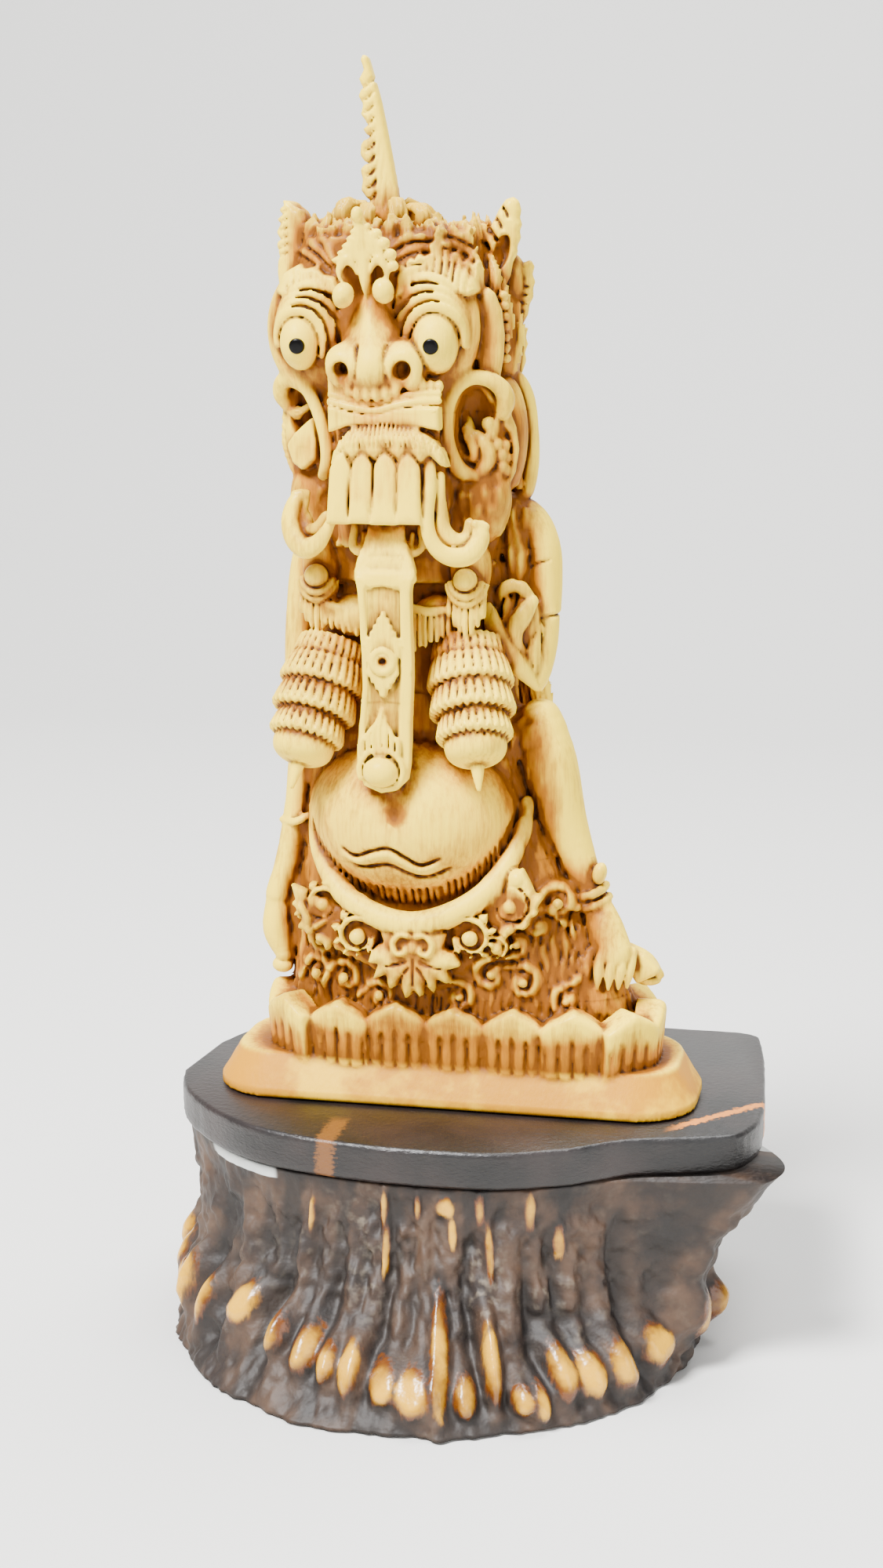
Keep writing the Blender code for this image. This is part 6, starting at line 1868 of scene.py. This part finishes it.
def build_burr(settings):
    """The antler's coronet as one dense closed wall, with its pearls, ridges and grit."""
    low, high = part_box("antler_burr")
    height = high.z - low.z
    around = settings.burr_around
    up = settings.burr_up
    angles = np.arange(around) * 2 * math.pi / around
    levels = np.linspace(0, 1, up)
    a, t = angles[:, None], levels[None, :]
    under = reach_at(slab_outline(-0.001), angles)[:, None] / MM
    top = np.minimum(under, BURR_REACH)
    rim = BURR_REACH - 3.0
    reach = top + (rim - top) * (1 - t) ** 1.6 - 1.8 * np.sin(math.pi * t)
    from_flare = turn_from(a, -9)
    reach = reach + 8.0 * t**2.5 * np.exp(-((from_flare / 0.25) ** 2))
    rng = np.random.default_rng(17)
    shape = (around, up)
    drift = 2.5 * smooth_noise(shape, (9, 3), rng) + 1.2 * smooth_noise(shape, (23, 5), rng)
    ridge = 0.7 * np.sin(17 * a + 1.3 * np.sin(3 * a) + 0.7 * drift)
    ridge = ridge + 0.5 * np.sin(43 * a + 1.3 * drift) + 0.6 * smooth_noise(shape, (60, 5), rng)
    reach = reach + ridge * np.sin(math.pi * np.minimum(1, t + 0.15)) * np.minimum(1, 4 * t)
    spots = [(*pearl, 2.7, 1.0) for pearl in PEARLS] + [(*streak, 0.7, 0.9) for streak in STREAKS]
    for index in range(22):
        spot = 16 + 9.3 * index + rng.uniform(-2.5, 2.5)
        spots.append((spot, rng.uniform(4, 9), rng.uniform(1.8, 2.9), rng.uniform(2.4, 4.5), 2.6, 1.0))
    polish = np.zeros(shape)
    for spot, level, half_width, half_height, rise, worn in spots:
        from_spot = turn_from(a, spot) * BURR_REACH / half_width
        swell = np.exp(-((from_spot**2 + ((t * BURR_HEIGHT - level) / half_height) ** 2) ** 1.5))
        reach = reach + rise * swell
        polish = np.maximum(polish, worn * swell)
    grit = 0.0
    for cells, size in (((around // 3, up // 3), 0.3), ((around // 7, up // 5), 0.42),
                        ((around // 16, up // 9), 0.5)):
        grit = grit + size * smooth_noise(shape, cells, rng)
    reach = reach + grit * np.minimum(1, 5 * (1 - t)) * (1 - 0.85 * polish)
    reach = np.where(t == 0, reach - 2.0, reach)
    bumps = np.clip(ridge / 1.6 + 0.5 * grit, -1, 1)
    dust = 0.25 * np.clip(0.5 + 0.5 * drift / 3, 0, 1)
    patch = 5.5
    for spot, level in ((-97, 16), (-66, 16), (-106, 21), (-47, 12), (-128, 15)):
        from_spot = turn_from(a, spot) * BURR_REACH / patch
        dust = np.maximum(dust, np.exp(-(from_spot**2) - ((t * BURR_HEIGHT - level) / patch) ** 2))
    left_cut = np.exp(-(((np.degrees(a) - 215) / 14) ** 4))
    right_cut = np.exp(-(((np.degrees(a) - 8) / 12) ** 4))
    sawn = (t > 0.94) * (left_cut + right_cut)
    x = reach * np.cos(a)
    y = reach * np.sin(a)
    x = np.clip(x * MM, low.x, high.x)
    y = np.clip(y * MM, low.y, high.y)
    z = np.broadcast_to(low.z + t * height, shape)
    wall = np.stack([x, y, z], -1)
    item = close_wall("burr", wall, burr_material())
    values = {"polish": polish, "height": bumps, "dust": dust, "sawn": sawn}
    for name, field in values.items():
        layer = item.data.attributes.new(name, "FLOAT", "POINT")
        field = np.broadcast_to(field, shape).astype(np.float32).reshape(-1)
        ends = (0.0, 1.0) if name == "sawn" else (0.0, 0.0)
        layer.data.foreach_set("value", np.concatenate([field, ends]).astype(np.float32))
    return item


def close_wall(name, wall, finish):
    """A mesh from a grid of places round and up a wall, closed by fans at both ends."""
    around, up = wall.shape[:2]
    places = wall.reshape(-1, 3)
    bottom = np.append(places[::up][:, :2].mean(0), wall[:, 0, 2].mean())
    crown = np.append(wall[:, -1, :2].mean(0), wall[:, -1, 2].mean())
    places = np.vstack([places, bottom, crown])
    i, j = np.meshgrid(np.arange(around), np.arange(up - 1), indexing="ij")
    i, j = i.ravel(), j.ravel()
    k = (i + 1) % around
    quads = np.column_stack([i * up + j, i * up + j + 1, k * up + j + 1, k * up + j])
    rim = np.arange(around)
    after = (rim + 1) % around
    base, top = around * up, around * up + 1
    fans = np.vstack([
        np.column_stack([rim * up, after * up, np.full(around, base)]),
        np.column_stack([after * up + up - 1, rim * up + up - 1, np.full(around, top)]),
    ])
    return dense_mesh(name, places, fans, quads, finish)


LAMP_AIM = Vector((0, 0, 0.08))
SKY_STRENGTH = 0.48
# Place in metres, lens in millimetres, and degrees that the camera dips and turns to its left
CAMERA_PLACE = (0.061, -0.2857, 0.131)
LENS, CAMERA_DIP, CAMERA_TURN = 54.0, 11.3, 12


def build_studio():
    """A pale floor that curves up behind, three soft lamps, a dim sky and the photograph's camera."""
    finish, _, _ = new_material("studio_paper", Base_Color=tint(214, 213, 210), Roughness=0.9)
    corners, faces = [], []
    profile = [(-1.2, 0.0), (0.45, 0.0)]
    profile += [(0.45 + 0.35 * math.sin(s * math.pi / 24),
                 0.35 * (1 - math.cos(s * math.pi / 24))) for s in range(1, 13)]
    profile += [(0.8, 1.6)]
    for y, z in profile:
        corners += [(-1.8, y, z), (1.8, y, z)]
    for row in range(len(profile) - 1):
        faces.append((2 * row, 2 * row + 1, 2 * row + 3, 2 * row + 2))
    floor = new_mesh_object("studio_floor", corners, faces, place=False)
    floor.data.materials.append(finish)
    floor.data.shade_smooth()
    for name, spot, size, power in (
        ("key", (-0.3, -0.5, 0.85), 0.3, 38.0),
        ("fill", (0.65, -0.5, 0.35), 0.6, 4.0),
        ("top", (0.15, 0.2, 0.8), 0.4, 9.0),
    ):
        lamp = bpy.data.lights.new(name, "AREA")
        lamp.energy, lamp.size = power, size
        item = bpy.data.objects.new(name, lamp)
        item.location = spot
        item.rotation_euler = (LAMP_AIM - Vector(spot)).to_track_quat("-Z", "Y").to_euler()
        bpy.context.scene.collection.objects.link(item)
    sky = bpy.data.worlds.new("studio_sky")
    sky.use_nodes = True
    sky.node_tree.nodes["Background"].inputs[0].default_value = tint(236, 240, 246)
    sky.node_tree.nodes["Background"].inputs[1].default_value = SKY_STRENGTH
    bpy.context.scene.world = sky
    camera = bpy.data.cameras.new("camera")
    camera.sensor_fit, camera.sensor_height, camera.lens = "VERTICAL", 36.0, LENS
    camera.clip_start = 0.01
    item = bpy.data.objects.new("camera", camera)
    item.location = CAMERA_PLACE
    item.rotation_euler = (math.radians(90 - CAMERA_DIP), 0, math.radians(CAMERA_TURN))
    bpy.context.scene.collection.objects.link(item)
    bpy.context.scene.camera = item


class CarvingSettings(bpy.types.PropertyGroup):
    """Sizes and colours of the finished look."""

    grain: FloatProperty(name="Grain", description="Finest detail of the carving", default=0.00027,
                         unit="LENGTH")
    quick_grain: FloatProperty(
        name="Quick Grain", description="Finest detail in a quick try", default=0.0004, unit="LENGTH"
    )
    petals: IntProperty(name="Petals", description="Lotus petals round the foot", default=16)
    high: FloatVectorProperty(
        name="High", description="Colour of what stands proud", subtype="COLOR", default=(0.98, 0.69, 0.02)
    )
    middle: FloatVectorProperty(
        name="Middle", description="Colour of sheltered places", subtype="COLOR", default=(0.58, 0.215, 0.001)
    )
    low: FloatVectorProperty(
        name="Low", description="Colour of hollows", subtype="COLOR", default=(0.19, 0.058, 0.0018)
    )
    deep: FloatVectorProperty(
        name="Deep", description="Colour of narrow cuts", subtype="COLOR", default=(0.032, 0.009, 0.0015)
    )
    plinth: FloatVectorProperty(
        name="Plinth", description="Colour of the plain plinth", subtype="COLOR",
        default=(0.56, 0.235, 0.0005)
    )
    slab_edge: FloatProperty(name="Slab Edge", description="Worn edge of the slab", default=0.0005,
                             unit="LENGTH")
    burr_around: IntProperty(name="Burr Around", description="Steps round the burr's wall", default=700)
    burr_up: IntProperty(name="Burr Up", description="Steps up the burr's wall", default=84)


CUTS = (
    ("foot", -1.0, 13.4), ("skirt", 13.4, 31.0), ("belly", 31.0, 52.0), ("chest", 52.0, 70.0),
    ("jaw", 70.0, 87.0), ("face", 87.0, 101.0), ("crown", 101.0, 131.0),
)


class CARVING_OT_figure(bpy.types.Operator):
    """Carve the figure, its lotus and its plinth"""

    bl_idname = "carving.figure"
    bl_label = "Carve Figure"

    def execute(self, context):
        carving = carve_figure(context.scene.carving)
        weather(carving)
        keep_in_box(carving)
        finish = antler_material(context.scene.carving)
        for piece in mesh_pieces(carving, CUTS, finish):
            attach(piece, "root")
            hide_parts("carved_figure")
        return {"FINISHED"}


class CARVING_OT_pupils(bpy.types.Operator):
    """Set the two black pupils"""

    bl_idname = "carving.pupils"
    bl_label = "Set Pupils"

    def execute(self, context):
        for piece, node in build_pupils(horn_material()):
            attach(piece, "root")
            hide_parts(node)
        return {"FINISHED"}


class CARVING_OT_slab(bpy.types.Operator):
    """Saw the dark slab"""

    bl_idname = "carving.slab"
    bl_label = "Saw Slab"

    def execute(self, context):
        piece = build_slab(context.scene.carving)
        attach(piece, "root")
        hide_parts("dark_slab")
        return {"FINISHED"}


class CARVING_OT_burr(bpy.types.Operator):
    """Grow the antler burr"""

    bl_idname = "carving.burr"
    bl_label = "Grow Burr"

    def execute(self, context):
        piece = build_burr(context.scene.carving)
        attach(piece, "root")
        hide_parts("antler_burr")
        return {"FINISHED"}


class CARVING_OT_studio(bpy.types.Operator):
    """Set the floor, the lamps and the camera"""

    bl_idname = "carving.studio"
    bl_label = "Set Studio"

    def execute(self, context):
        build_studio()
        return {"FINISHED"}


OPERATORS = (CARVING_OT_figure, CARVING_OT_pupils, CARVING_OT_slab, CARVING_OT_burr, CARVING_OT_studio)


class CARVING_PT_panel(bpy.types.Panel):
    """The carving's settings and steps"""

    bl_idname = "CARVING_PT_panel"
    bl_label = "Carved Figure"
    bl_space_type = "VIEW_3D"
    bl_region_type = "UI"
    bl_category = "Carving"

    def draw(self, context):
        for name in CarvingSettings.__annotations__:
            self.layout.prop(context.scene.carving, name)
        for operator in OPERATORS:
            self.layout.operator(operator.bl_idname)


CLASSES = (CarvingSettings, *OPERATORS, CARVING_PT_panel)


def register():
    for item in CLASSES:
        bpy.utils.register_class(item)
    bpy.types.Scene.carving = PointerProperty(type=CarvingSettings)


def unregister():
    del bpy.types.Scene.carving
    for item in reversed(CLASSES):
        bpy.utils.unregister_class(item)


def main():
    register()
    bpy.ops.carving.figure()
    bpy.ops.carving.pupils()
    bpy.ops.carving.slab()
    bpy.ops.carving.burr()
    bpy.ops.carving.studio()


if __name__ == "__main__":
    main()
